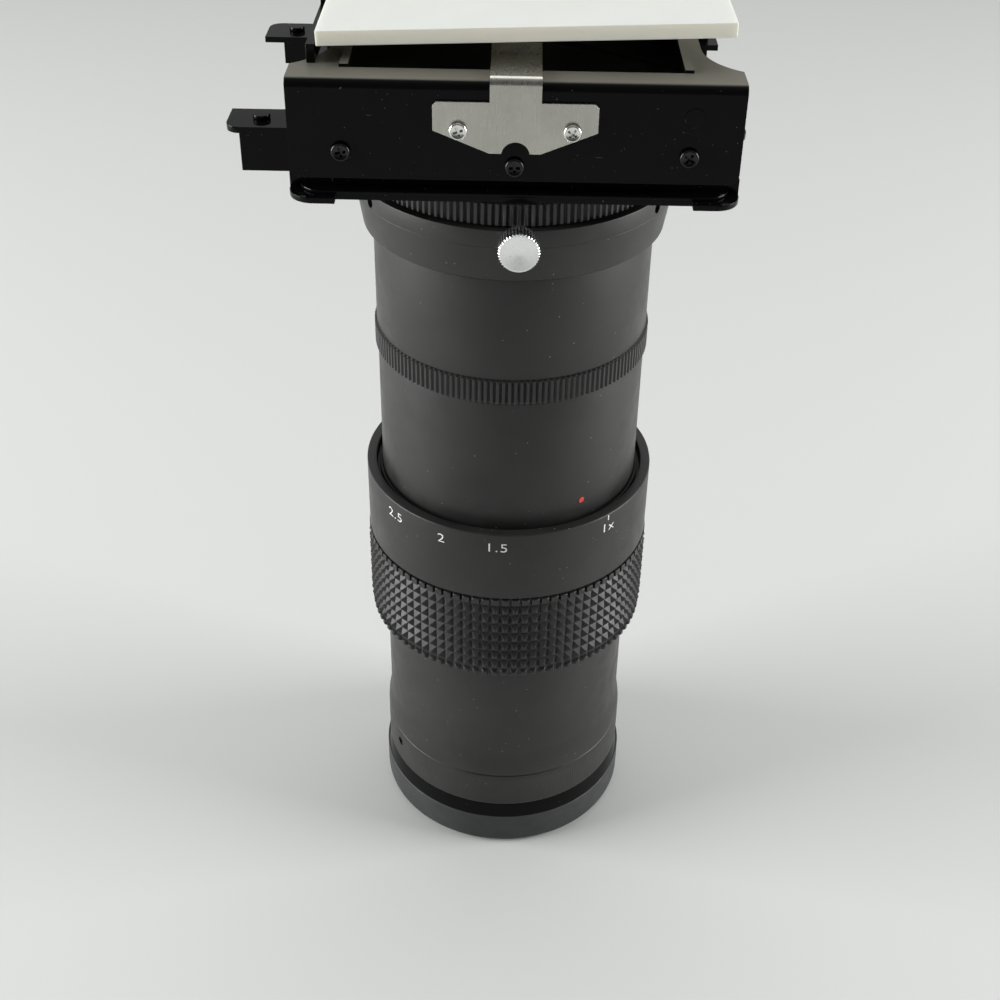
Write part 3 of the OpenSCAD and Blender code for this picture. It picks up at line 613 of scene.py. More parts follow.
def softened(node: str, name: str, width: float, lift: Callable[[float], float] | None = None,
             crease: float = 40.0, steps: int = 2) -> bpy.types.Object:
    """Copies a CAD node with its sharp edges eased, as sheet and turned metal has.

    Args:
        node: The CAD node to copy.
        name: The copy's name.
        width: The width of the eased edge.
        lift: Gives a point's new height from its old one, or None.
        crease: The bend in degrees from which an edge is eased.
        steps: Segments across the eased edge.

    Returns:
        The new object.
    """
    bench = bmesh.new()
    bench.from_mesh(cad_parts[node].data)
    bmesh.ops.remove_doubles(bench, verts=bench.verts, dist=2e-6)
    if lift:
        for vertex in bench.verts:
            vertex.co.z = lift(vertex.co.z)
    bmesh.ops.dissolve_limit(bench, angle_limit=math.radians(0.6), verts=bench.verts, edges=bench.edges)
    sharp = [e for e in bench.edges
             if len(e.link_faces) == 2 and e.calc_face_angle(0.0) > math.radians(crease)]
    bmesh.ops.bevel(bench, geom=sharp, offset=width, segments=steps, profile=0.5, affect="EDGES",
                    clamp_overlap=True, miter_outer="ARC")
    piece = shaded(name, stored(name, bench), 30.0)
    piece.modifiers.new("even_normals", "WEIGHTED_NORMAL").keep_sharp = True
    return piece


def joined(name: str, parts: Iterable[bpy.types.Object]) -> bpy.types.Object:
    """Joins objects into one piece, with their places kept.

    Args:
        name: The piece's name.
        parts: The objects, which are used up.

    Returns:
        The joined object.
    """
    parts = list(parts)
    whole = bmesh.new()
    for part in parts:
        copy = part.data.copy()
        copy.transform(part.matrix_world)
        whole.from_mesh(copy)
        bpy.data.meshes.remove(copy)
    mesh = stored(name, whole)
    for part in parts:
        bpy.data.objects.remove(part)
    mesh.set_sharp_from_angle(angle=math.radians(35))
    return placed(name, mesh)


def cut(piece: bpy.types.Object, cutters: Iterable[bpy.types.Object]) -> bpy.types.Object:
    """Cuts solids out of a piece, and removes them.

    Args:
        piece: The piece to cut.
        cutters: The solids to take away.

    Returns:
        The piece.
    """
    for cutter in cutters:
        step = piece.modifiers.new("cut", "BOOLEAN")
        step.operation = "DIFFERENCE"
        step.solver = "EXACT"
        step.object = cutter
        bpy.context.view_layer.update()
        shape = bpy.data.meshes.new_from_object(piece.evaluated_get(bpy.context.evaluated_depsgraph_get()))
        piece.modifiers.clear()
        piece.data = shape
        bpy.data.objects.remove(cutter)
    piece.data.set_sharp_from_angle(angle=math.radians(35))
    return piece


def settle(piece: bpy.types.Object, body: Body, material: bpy.types.Material,
           nodes: Sequence[str] = ()) -> bpy.types.Object:
    """Gives a finished piece its material and body, and hides the CAD nodes that it stands for.

    Args:
        piece: The piece.
        body: The group that it rides on.
        material: Its material.
        nodes: The CAD nodes that it replaces.

    Returns:
        The piece.
    """
    piece.data.materials.clear()
    piece.data.materials.append(material)
    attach(piece, body.value)
    if nodes:
        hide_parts(*nodes)
    LOG.info("%s rides on %s", piece.name, body.value)
    return piece


def azimuth(degrees: float) -> float:
    """Returns the angle about Z of a place that many degrees round from the front."""
    return math.radians(degrees - 90.0)


# ---------------------------------------------------------------- the object


@dataclass
class Materials:
    """Every finish on the object, made once."""

    def __post_init__(self) -> None:
        """Builds the materials."""
        self.tube = Anodised("tube_black").material()
        self.ring = Anodised("ring_black", (0.012, 0.012, 0.0115), 0.42, 6400.0).material()
        self.inner = Anodised("inner_black", (0.006, 0.006, 0.006), 0.6, 6000.0, 0.004).material()
        self.fluted = Anodised("fluted_black", (0.016, 0.016, 0.016), 0.34, 7000.0, 0.01).material()
        self.gloss = Enamel("mount_gloss", (0.002, 0.002, 0.002), 0.10, 0.006).material()
        self.sheet = Enamel("sheet_gloss").material()
        # The bracket's top plate carries the painted reflection on its level faces.
        self.plate = Enamel("plate_gloss", painted_reflection=0.9).material()
        self.cap = Moulded("cap_grain", (0.022, 0.023, 0.023)).material()
        self.grip = Moulded("grip_rubber", (0.011, 0.011, 0.011), 0.46, 5000.0, 0.008 * MM, 0.42).material()
        self.dark_screw = Metal("screw_dark", (0.05, 0.05, 0.05), 0.35).material()
        self.black_screw = Metal("screw_black", (0.035, 0.035, 0.035), 0.22).material()
        self.spring = Metal("spring_satin", (0.56, 0.55, 0.50), 0.30, (1.0, 1.0, 0.08), 2600.0).material()
        self.chrome = Metal("screw_bright", (0.78, 0.78, 0.75), 0.14).material()
        self.bright = Metal("thumb_bright", (0.90, 0.91, 0.91), 0.22).material()
        self.opal = Opal("opal_white").material()
        self.glass = CoatedGlass("coated_glass").material()
        self.white = Paint("scale_white", (0.72, 0.72, 0.70)).material()
        self.red = Paint("index_red", (0.62, 0.045, 0.03)).material()


@dataclass
class CameraEnd:
    """The rear cap, the mount ring, the adapter band and its screws."""

    ease: float = 0.12 * MM
    cap_edge: float = 1.8 * MM
    cap_wall: float = 1.4 * MM
    cone_top: float = 24.5 * MM
    knurls: int = 260
    knurl_depth: float = 0.035 * MM

    def build(self, looks: Materials) -> None:
        """Builds and dresses the camera end.

        Args:
            looks: The finishes.
        """
        self.rear_cap(looks)
        self.mount_ring(looks)
        self.adapter_band(looks)

    def rear_cap(self, looks: Materials) -> None:
        """Turns the cap, with a well rounded lower edge."""
        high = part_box("rear_cap")[1]
        radius, height, wall = high.x, high.z, self.cap_wall
        arc = [(radius - self.cap_edge * (1 - math.sin(t)), self.cap_edge * (1 - math.cos(t)))
               for t in (math.pi / 2 * k / 8 for k in range(9))]
        outline = [(0.0, 0.0), *arc]
        outline += [(radius, height - self.ease), (radius - self.ease, height),
                    (radius - wall + self.ease, height), (radius - wall, height - self.ease),
                    (radius - wall, wall), (0.0, wall)]
        settle(turned("cap_shell", outline), Body.CAP, looks.cap, ["rear_cap"])

    def mount_ring(self, looks: Materials) -> None:
        """Turns the glossy mount ring, with its thread as fine grooves."""
        low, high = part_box("mount_ring")
        cap_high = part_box("rear_cap")[1]
        cone_low, cone_high = cap_high.z, cap_high.z + 3.4 * MM
        flange = cap_high.x - self.cap_wall - 0.06 * MM
        bore, thread, spigot = 18.5 * MM, 21.0 * MM, 23.4 * MM
        flange_low = cap_high.z - 1.9 * MM
        teeth: Outline = []
        pitch, tooth = 0.7 * MM, 0.3 * MM
        turns = int((flange_low - low.z) / pitch)
        for k in range(turns):
            teeth += [(thread, low.z + k * pitch), (thread - tooth, low.z + (k + 0.5) * pitch)]
        outline = [(bore, low.z), *teeth, (thread - tooth, flange_low), (flange, flange_low),
                   (flange, cone_low), (high.x, cone_low), (high.x, cone_low + 0.15 * MM),
                   (self.cone_top, cone_high), (spigot, cone_high), (spigot, high.z), (bore, high.z)]
        settle(turned("mount_flange", outline), Body.BARREL, looks.gloss, ["mount_ring"])

    def adapter_band(self, looks: Materials) -> None:
        """Turns the band with its fine knurl, and drills it for the two set screws that it shows."""
        low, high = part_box("adapter_ring")
        inner, thread = 23.45 * MM, 21.0 * MM
        radius, step = high.x, high.z - 2.0 * MM

        def knurl(r: float, z: float, angle: float) -> float:
            """Returns the knurl's depth on the outside of the band, away from its edges."""
            inside = radius - 0.01 * MM < r and low.z + 0.8 * MM < z < high.z - 1.6 * MM
            return -self.knurl_depth * (0.5 + 0.5 * math.cos(self.knurls * angle)) if inside else 0.0

        outline = eased([(inner, low.z), (radius, low.z), (radius, high.z), (thread, high.z),
                         (thread, step), (inner, step)], 0.3 * MM)
        start, stop, fade = low.z + 0.9 * MM, high.z - 1.7 * MM, 0.15 * MM
        place = next(i for i, (r, z) in enumerate(outline) if r > radius - 1e-7 and z > low.z + 0.5 * MM)
        outline[place:place] = [(radius, start - fade), (radius, start), (radius, stop),
                                (radius, stop + fade)]
        band = turned("adapter_band", outline, self.knurls * 4, knurl)
        screw_low, screw_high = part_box("adapter_set_screws")
        middle, angles = (screw_low.z + screw_high.z) / 2, (-61.0, 179.0)
        drills = [radial_cylinder("drill", a, middle, 0.95 * MM, radius - 1.2 * MM, radius + 1 * MM)
                  for a in angles]
        cut(band, drills)
        settle(band, Body.BARREL, looks.ring, ["adapter_ring"])
        pins = [grub_screw(a, middle, 0.9 * MM, 23.4 * MM, radius - 0.3 * MM) for a in angles]
        settle(joined("adapter_grub_screws", pins), Body.BARREL, looks.dark_screw,
               ["adapter_set_screws"])


def radial_cylinder(name: str, degrees: float, height: float, radius: float, start: float, stop: float,
                    sides: int = 32) -> bpy.types.Object:
    """Makes a cylinder that points outward from the barrel's axis.

    Args:
        name: The object's name.
        degrees: Its place, round from the front.
        height: Its height.
        radius: Its own radius.
        start: Its inner end, from the barrel's axis.
        stop: Its outer end.
        sides: Steps round it.

    Returns:
        The new object.
    """
    bench = bmesh.new()
    bmesh.ops.create_cone(bench, cap_ends=True, segments=sides, radius1=radius, radius2=radius,
                          depth=stop - start)
    place = (Matrix.Translation((0, 0, height)) @ Matrix.Rotation(azimuth(degrees), 4, "Z")
             @ Matrix.Translation(((start + stop) / 2, 0, 0)) @ Matrix.Rotation(math.pi / 2, 4, "Y"))
    bench.transform(place)
    return shaded(name, stored(name, bench))


def grub_screw(degrees: float, height: float, radius: float, start: float, stop: float) -> bpy.types.Object:
    """Makes a headless screw with a hexagonal socket in its outer end.

    Args:
        degrees: Its place, round from the front.
        height: Its height.
        radius: Its own radius.
        start: Its inner end, from the barrel's axis.
        stop: Its outer end.

    Returns:
        The new object.
    """
    screw = radial_cylinder("grub", degrees, height, radius, start, stop, 24)
    socket = radial_cylinder("socket", degrees, height, radius * 0.55, stop - 0.7 * MM, stop + 1 * MM, 6)
    return cut(screw, [socket])


@dataclass
class ZoomBarrel:
    """The rear tube, the bearing ring, the zoom ring, its grip and its scale."""

    grip_count: int = 92
    grip_rows: int = 7
    grip_depth: float = 0.85 * MM
    tip: float = 0.16
    number_height: float = 1.9 * MM
    scale: tuple[tuple[str, float], ...] = (("1x", 42.8), ("1.5", -3.8), ("2", -26.0),
                                            ("2.5", -49.5))
    number_z: float = 81.3 * MM

    def build(self, looks: Materials) -> None:
        """Builds and dresses the zoom barrel.

        Args:
            looks: The finishes.
        """
        self.rear_tube(looks)
        self.bearing(looks)
        self.zoom_ring(looks)
        self.grip(looks)
        self.numbers(looks)

    def rear_tube(self, looks: Materials) -> None:
        """Turns the rear tube: its foot, its flare and the sleeve that the zoom ring turns on."""
        low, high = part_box("rear_tube")
        foot, tube, sleeve = 25.3 * MM, 24.6 * MM, high.x
        seam = low.z + 2.0 * MM
        flare = [(foot - (foot - tube) * (0.5 - 0.5 * math.cos(math.pi * k / 10)),
                  seam + 0.5 * MM + 6.3 * MM * k / 10) for k in range(11)]
        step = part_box("zoom_ring")[0].z + 1.4 * MM
        neck, plug, bore, clearance, mouth = (r * MM for r in (19.8, 20.95, 23.3, 24.85, 25.28))
        outline = [(neck, low.z), (plug, low.z), (plug, seam), (foot - 0.1 * MM, seam),
                   (foot, seam + 0.1 * MM), *flare, (tube, step), (sleeve, step), (sleeve, high.z),
                   (mouth, high.z), (mouth, high.z - 2.4 * MM), (clearance, high.z - 2.4 * MM),
                   (clearance, step + 1.2 * MM), (bore, step + 1.2 * MM), (bore, seam + 2 * MM),
                   (neck, seam + 2 * MM)]
        settle(turned("rear_tube_shell", outline), Body.BARREL, looks.tube, ["rear_tube"])

    def bearing(self, looks: Materials) -> None:
        """Turns the thin ring in the mouth of the zoom ring."""
        low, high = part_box("bearing_ring")
        outline = eased([(RUNNING_BORE, low.z), (high.x, low.z), (high.x, high.z), (RUNNING_BORE, high.z)],
                        0.1 * MM)
        settle(turned("bearing_lip", outline), Body.BARREL, looks.inner, ["bearing_ring"])

    def zoom_ring(self, looks: Materials) -> None:
        """Turns the zoom ring with its bevelled rim."""
        low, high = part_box("zoom_ring")
        core = 26.6 * MM
        shoulder = low.z + 20 * MM
        mouth, step = 25.74 * MM, low.z + 1.1 * MM
        outline = eased([(RUNNING_BORE, low.z), (core, low.z), (core, shoulder), (high.x, shoulder),
                         (high.x, high.z), (mouth, high.z), (mouth, step), (RUNNING_BORE, step)],
                        0.25 * MM)
        settle(turned("zoom_ring_shell", outline, 256), Body.ZOOM, looks.ring, ["zoom_ring"])

    def grip(self, looks: Materials) -> None:
        """Moulds the grip: a row of blocks, the rows of pyramids, and a row of small pins."""
        low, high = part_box("grip_ring")
        outer = high.x
        valley = outer - self.grip_depth
        inner = 26.65 * MM
        border = 2.0 * MM
        bottom, top = low.z, high.z
        row = (top - bottom - 2 * border) / self.grip_rows
        turn = 2 * math.pi / self.grip_count
        vertices: list[tuple[float, float, float]] = []
        faces: list[tuple[int, ...]] = []

        def point(radius: float, angle: float, z: float) -> int:
            """Adds a point and returns its number."""
            vertices.append((radius * math.cos(angle), radius * math.sin(angle), z))
            return len(vertices) - 1

        def stud(angle: float, z: float, wide: float, tall: float, top_wide: float, top_tall: float,
                 base: float, peak: float) -> None:
            """Adds a tapered stud with a flat top, open at its base.

            Args:
                angle: Its middle, about the barrel's axis.
                z: Its middle's height.
                wide: Half its width at the base, in radians.
                tall: Half its height at the base.
                top_wide: Half its width at the top, in radians.
                top_tall: Half its height at the top.
                base: The base's radius from the barrel's axis.
                peak: The top's radius.
            """
            ring = [(-1, -1), (1, -1), (1, 1), (-1, 1)]
            feet = [point(base, angle + i * wide, z + j * tall) for i, j in ring]
            tips = [point(peak, angle + i * top_wide, z + j * top_tall) for i, j in ring]
            for k in range(4):
                faces.append((feet[k], feet[(k + 1) % 4], tips[(k + 1) % 4], tips[k]))
            faces.append(tuple(tips))

        for column in range(self.grip_count):
            angle = column * turn
            for level in range(self.grip_rows):
                z = bottom + border + (level + 0.5) * row
                stud(angle, z, turn / 2, row / 2, turn * self.tip / 2, row * self.tip / 2, valley, outer)
            stud(angle, top - 0.95 * MM, turn * 0.42, 0.72 * MM, turn * 0.36, 0.62 * MM, valley,
                 outer - 0.15 * MM)
            stud(angle, bottom + 0.95 * MM, turn * 0.36, 0.62 * MM, turn * 0.2, 0.4 * MM, valley,
                 outer - 0.25 * MM)
        studs = finished_mesh("grip_studs", vertices, faces, 20.0)
        round_off = studs.modifiers.new("round_off", "BEVEL")
        round_off.width = 0.05 * MM
        round_off.segments = 1
        round_off.limit_method = "ANGLE"
        round_off.angle_limit = math.radians(25)
        core = turned("grip_core", eased([(inner, bottom), (valley - 0.25 * MM, bottom),
                                          (valley, bottom + 0.3 * MM), (valley, top), (inner, top)],
                                         0.05 * MM), 184)
        settle(core, Body.ZOOM, looks.grip, ["grip_ring"])
        settle(studs, Body.ZOOM, looks.grip)

    def numbers(self, looks: Materials) -> None:
        """Paints the plain scale numbers and the tick over the first."""
        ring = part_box("zoom_ring")[1]
        radius = ring.x + 0.012 * MM
        parts = [wrapped_text(text, degrees, self.number_z, self.number_height, radius)
                 for text, degrees in self.scale]
        first = self.scale[0][1]
        tick_low, tick_high, half = 82.9 * MM, 84.0 * MM, 0.13 * MM / radius
        angle = azimuth(first)
        corners = [(radius * math.cos(angle + s * half), radius * math.sin(angle + s * half), z)
                   for s, z in ((-1, tick_low), (1, tick_low), (1, tick_high), (-1, tick_high))]
        parts.append(finished_mesh("tick", corners, [(0, 1, 2, 3)]))
        settle(joined("scale_numbers", parts), Body.ZOOM, looks.white)


def wrapped_text(text: str, degrees: float, height: float, size: float, radius: float) -> bpy.types.Object:
    """Writes plain numbers round the barrel.

    Args:
        text: The number.
        degrees: Its middle, round from the front.
        height: The height of its middle.
        size: The height of a digit.
        radius: The radius of the surface that it lies on.

    Returns:
        The new object.
    """
    curve = bpy.data.curves.new("number", "FONT")
    curve.body = text
    curve.align_x = "CENTER"
    curve.align_y = "CENTER"
    curve.size = size / 0.7
    curve.space_character = 1.12
    curve.offset = -0.012 * MM
    letters = placed("number", curve)
    bpy.context.view_layer.update()
    mesh = bpy.data.meshes.new_from_object(letters.evaluated_get(bpy.context.evaluated_depsgraph_get()))
    bpy.data.objects.remove(letters)
    middle = azimuth(degrees)
    for vertex in mesh.vertices:
        x, y, _ = vertex.co
        angle = middle + DIGIT_WIDTH * x / radius
        vertex.co = (radius * math.cos(angle), radius * math.sin(angle), height + y)
    return placed("number_mesh", mesh)


@dataclass
class FrontBarrel:
    """The front tube, the lock ring, the extension tube, the collar and the thumbscrew."""

    tube: float = 24.6 * MM
    bore: float = 23.3 * MM
    flutes: int = 150
    thumb_place: float = 1.7
    screw_places: tuple[float, float, float] = (-60.0, 60.0, 180.0)

    def build(self, looks: Materials) -> None:
        """Builds and dresses the front barrel.

        Args:
            looks: The finishes.
        """
        self.tubes(looks)
        self.lock_ring(looks)
        self.collar(looks)
        self.thumbscrew(looks)

    def tubes(self, looks: Materials) -> None:
        """Turns the front tube and the extension tube, and paints the index dot."""
        low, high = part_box("front_tube")
        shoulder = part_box("lock_ring")[0].z - 0.1 * MM
        spigot = 23.9 * MM
        outline = eased([(self.bore, low.z), (self.tube, low.z), (self.tube, shoulder), (spigot, shoulder),
                         (spigot, high.z), (self.bore, high.z)], 0.08 * MM)
        settle(turned("front_tube_shell", outline), Body.FRONT, looks.tube, ["front_tube"])
        low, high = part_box("extension_tube")
        socket, step = spigot + 0.05 * MM, low.z + 3.6 * MM
        outline = eased([(socket, low.z), (high.x, low.z), (high.x, high.z), (self.bore, high.z),
                         (self.bore, step), (socket, step)], 0.08 * MM)
        settle(turned("extension_tube_shell", outline), Body.FRONT, looks.tube,
               ["extension_tube"])
        low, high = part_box("index_dot")
        dot = radial_cylinder("index_paint", 33.3, (low.z + high.z) / 2, 0.58 * MM,
                              self.tube - 0.05 * MM, self.tube + 0.1 * MM)
        soften = dot.modifiers.new("soft_edge", "BEVEL")
        soften.width = 0.06 * MM
        soften.segments = 3
        settle(dot, Body.FRONT, looks.red, ["index_dot"])

    def lock_ring(self, looks: Materials) -> None:
        """Turns the fluted lock ring."""
        low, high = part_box("lock_ring")
        piece = fluted_ring("lock_ring_fluted", 23.96 * MM, high.x, low.z, high.z, self.flutes, 0.34 * MM)
        settle(piece, Body.LOCK, looks.fluted, ["lock_ring"])

    def collar(self, looks: Materials) -> None:
        """Turns the stage collar and drills it for its screws."""
        low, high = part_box("stage_collar")
        radius, top = high.x, high.z - 1.0 * MM
        slope, step = low.z + 6.5 * MM, low.z + 4.7 * MM
        bore, mouth = 24.75 * MM, 25.36 * MM
        outline = eased([(bore, low.z), (radius - 1.6 * MM, low.z), (radius - 1.1 * MM, low.z + 0.4 * MM),
                         (radius - 0.08 * MM, slope - 0.05 * MM), (radius - 0.14 * MM, slope),
                         (radius, slope + 0.1 * MM), (radius, top), (mouth, top), (mouth, step),
                         (bore, step)], 0.09 * MM)
        piece = turned("stage_collar_shell", outline, 224)
        z, start, stop = high.z - 2.7 * MM, 24.6 * MM, radius + 1 * MM
        drills = [radial_cylinder("drill", a, z, 0.95 * MM, start, stop) for a in self.screw_places]
        drills.append(radial_cylinder("drill", self.thumb_place, high.z - 2 * MM, 1.31 * MM, start, stop))
        settle(cut(piece, drills), Body.FRONT, looks.ring, ["stage_collar"])
        pins = [grub_screw(a, z, 0.9 * MM, bore, radius - 0.6 * MM) for a in self.screw_places]
        settle(joined("collar_grub_screws", pins), Body.FRONT, looks.dark_screw,
               ["collar_set_screws"])

    def thumbscrew(self, looks: Materials) -> None:
        """Turns the bright thumbscrew, with a knurled edge and a face in fine steps."""
        low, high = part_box("thumbscrew")
        head, face = 3.3 * MM, 33.5 * MM
        back = face - 3.6 * MM
        knurls = 40

        def knurl(r: float, z: float, angle: float) -> float:
            """Returns the knurl's depth on the head's edge."""
            return -0.13 * MM * abs(math.sin(knurls * angle / 2)) if r > head - 0.02 * MM else 0.0

        rings = [(head - 0.45 * MM - 0.18 * MM * k,
                  face - 0.02 * MM * k - (0.03 * MM if k % 2 else 0.0)) for k in range(15)]
        tip, shank, neck, step = 24.8 * MM, 1.25 * MM, 2.0 * MM, back - 1.2 * MM
        outline = [(0.0, tip), (shank, tip), (shank, step), (neck, step), (neck, back),
                   (head - 0.35 * MM, back), (head, back + 0.3 * MM), (head, face - 0.3 * MM),
                   (head - 0.25 * MM, face - 0.02 * MM), *rings, (0.0, face - 0.32 * MM)]
        piece = turned("thumbscrew_turned", outline, knurls * 8, knurl, 28.0)
        middle = (low.z + high.z) / 2
        place = (Matrix.Translation((0, 0, middle)) @ Matrix.Rotation(azimuth(self.thumb_place), 4, "Z")
                 @ Matrix.Rotation(math.pi / 2, 4, "Y"))
        piece.data.transform(place)
        settle(piece, Body.THUMB, looks.bright, ["thumbscrew"])


def fluted_ring(name: str, inner: float, outer: float, low: float, high: float, flutes: int,
                depth: float) -> bpy.types.Object:
    """Turns a ring with straight flutes and bevelled rims.

    Args:
        name: The piece's name.
        inner: The bore's radius.
        outer: The radius over the ridges.
        low: The lower rim's height.
        high: The upper rim's height.
        flutes: How many flutes it has.
        depth: How deep they are.

    Returns:
        The new object.
    """
    rim = 0.12 * MM

    def flute(r: float, z: float, angle: float) -> float:
        """Returns the depth of the flutes, which have flat ridges and narrow grooves."""
        if r < outer - 0.05 * MM:
            return 0.0
        wave = 0.5 + 0.5 * math.cos(flutes * angle)
        return -depth * max(0.0, wave - 0.3) / 0.7

    edge, slope = outer - rim - depth, rim + 0.1 * MM
    outline = [(inner, low), (edge, low), (outer, low + slope), (outer, high - slope), (edge, high),
               (inner, high)]
    return turned(name, outline, flutes * 6, flute, 40.0)


@dataclass
class Lens:
    """The lens cell and its elements, seen down the barrel."""

    glass: float = 13.0 * MM

    def build(self, looks: Materials) -> None:
        """Builds and dresses the lens.

        Args:
            looks: The finishes.
        """
        for node, name, width in (("lens_cell", "lens_cell_shell", 0.15),
                                  ("retaining_rings", "lens_rings", 0.1),
                                  ("aperture_stop", "lens_stop", 0.05)):
            settle(softened(node, name, width * MM), Body.LENS, looks.inner, [node])
        for node, name in (("front_element", "front_glass"), ("rear_element", "rear_glass")):
            low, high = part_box(node)
            settle(self.element(name, low.z, high.z), Body.LENS, looks.glass, [node])

    def element(self, name: str, low: float, high: float) -> bpy.types.Object:
        """Turns a biconvex element.

        Args:
            name: The piece's name.
            low: The height of its lower pole.
            high: The height of its upper pole.

        Returns:
            The new object.
        """
        half, rim, steps = (high - low) / 2, 1.0 * MM, 16
        middle, rise = (low + high) / 2, half - rim
        big = (self.glass ** 2 + rise ** 2) / (2 * rise)
        span = math.asin(self.glass / big)
        curve = [(big * math.sin(span * k / steps), rim + rise - big + big * math.cos(span * k / steps))
                 for k in range(steps + 1)]
        outline = [(r, middle + z) for r, z in curve] + [(r, middle - z) for r, z in reversed(curve)]
        return turned(name, outline, 128)


@dataclass
class Stage:
    """The rotation ring, tray, shift plate, bracket, clips, carriage and flap."""

    flutes: int = 145
    bar_reach: float = 3.4 * MM

    def build(self, looks: Materials) -> None:
        """Builds and dresses the slide stage.

        Args:
            looks: The finishes.
        """
        self.rotation_ring(looks)
        lifts = {"ring_screws": tray_height, "stage_tray": tray_height, "shift_plate": plate_height}
        for node, name, width, body, slot, finish in (
            ("ring_screws", "ring_screws_sunk", 0.05, Body.STAGE, Slot.DARK_SCREW, looks.dark_screw),
            ("stage_tray", "tray_pressed", 0.18, Body.STAGE, Slot.SHEET, looks.sheet),
            ("shift_plate", "shift_plate_pressed", 0.12, Body.SHIFT, Slot.SHEET, looks.sheet),
            ("guide_bars", "guide_bars_milled", 0.2, Body.SHIFT, Slot.SHEET, looks.sheet),
            ("stage_bracket", "bracket_folded", 0.16, Body.SHIFT, Slot.SHEET, looks.plate),
            ("flange_plug", "flange_plug_disc", 0.08, Body.SHIFT, Slot.SHEET, looks.sheet),
            ("slide_clip_front", "clip_front_sprung", 0.1, Body.SHIFT, Slot.SPRING, looks.spring),
            ("slide_clip_rear", "clip_rear_sprung", 0.1, Body.SHIFT, Slot.SPRING, looks.spring),
            ("carriage", "carriage_folded", 0.2, Body.CARRIAGE, Slot.SHEET, looks.sheet),
            ("carriage_studs", "carriage_stud_discs", 0.12, Body.CARRIAGE, Slot.SHEET, looks.sheet),
            ("hinge_rail", "hinge_rail_bar", 0.12, Body.SHIFT, Slot.SHEET, looks.sheet),
            ("hinge_pin", "hinge_pin_rod", 0.06, Body.SHIFT, Slot.SPRING, looks.spring),
            ("opal_flap", "opal_flap_sheet", 0.3, Body.FLAP, Slot.OPAL, looks.opal),
        ):
            piece = softened(node, name, width * MM, lifts.get(node))
            if node == "slide_clip_front":
                cut(piece, [screw_arch()])
                piece.modifiers.new("even_normals", "WEIGHTED_NORMAL").keep_sharp = True
            if node == "guide_bars":
                for vertex in piece.data.vertices:
                    vertex.co.x += math.copysign(self.bar_reach, vertex.co.x)
            settle(piece, body, finish, [node])
        self.screws(looks)

    def rotation_ring(self, looks: Materials) -> None:
        """Turns the fluted rotation ring and the spigot below it."""
        low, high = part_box("rotation_ring")
        bore, outer = 22.8 * MM, 25.3 * MM
        rim_low, rim_high = high.z - 2.8 * MM, high.z + 1.2 * MM
        top = rim_low + 0.2 * MM
        spigot = turned("spigot", eased([(bore, low.z), (outer, low.z), (outer, top), (bore, top)],
                                        0.1 * MM))
        rim = fluted_ring("rim", bore, high.x, rim_low, rim_high, self.flutes, 0.4 * MM)
        settle(joined("rotation_ring_fluted", [spigot, rim]), Body.STAGE, looks.fluted,
               ["rotation_ring"])

    def screws(self, looks: Materials) -> None:
        """Sets the cross-head screws in the bracket and the clips."""
        low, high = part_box("bracket_screws")
        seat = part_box("stage_bracket")[1].y
        side_x, side_z, mid_z = 26.6 * MM, high.z - 1.5 * MM, low.z + 1.5 * MM
        spots = [(-side_x, side_z), (side_x, side_z), (0.0, mid_z)]
        black = [cross_screw(x, z, seat, 1.5 * MM, 0.9 * MM, 2.4 * MM, end, 12 + 40 * k)
                 for end in (-1, 1) for k, (x, z) in enumerate(spots)]
        settle(joined("bracket_cross_screws", black), Body.SHIFT, looks.black_screw,
               ["bracket_screws"])
        low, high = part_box("clip_screws")
        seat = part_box("slide_clip_rear")[1].y
        bright = [cross_screw(x, (low.z + high.z) / 2, seat, 1.4 * MM, 0.8 * MM, 1.5 * MM, end, 20 + 35 * k)
                  for end in (-1, 1) for k, x in enumerate((-8.65 * MM, 8.65 * MM))]
        settle(joined("clip_cross_screws", bright), Body.SHIFT, looks.chrome, ["clip_screws"])


def screw_arch() -> bpy.types.Object:
    """Makes the rod that opens the clip's arch over the middle screw to its full height."""
    radius, place = 2.2 * MM, (0.1 * MM, -27.0 * MM, 156.34 * MM)
    bench = bmesh.new()
    bmesh.ops.create_cone(bench, cap_ends=True, segments=48, radius1=radius, radius2=radius,
                          depth=6 * MM)
    bench.transform(Matrix.Translation(place) @ Matrix.Rotation(math.pi / 2, 4, "X"))
    return shaded("arch", stored("arch", bench))


def tray_height(z: float) -> float:
    """Returns a height in the tray with its sheet thinned to 0.9 mm, under the shift plate."""
    low, top, sheet, slack = 147.1 * MM, 148.4 * MM, 0.9 * MM, 0.01 * MM
    return top + (z - low) * sheet / (top - low) if low - slack < z < top + slack else z


def plate_height(z: float) -> float:
    """Returns a height in the shift plate with its sheet thinned to 0.5 mm, at its top."""
    top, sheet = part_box("shift_plate")[1].z, 0.52 * MM
    return max(z, top - sheet)


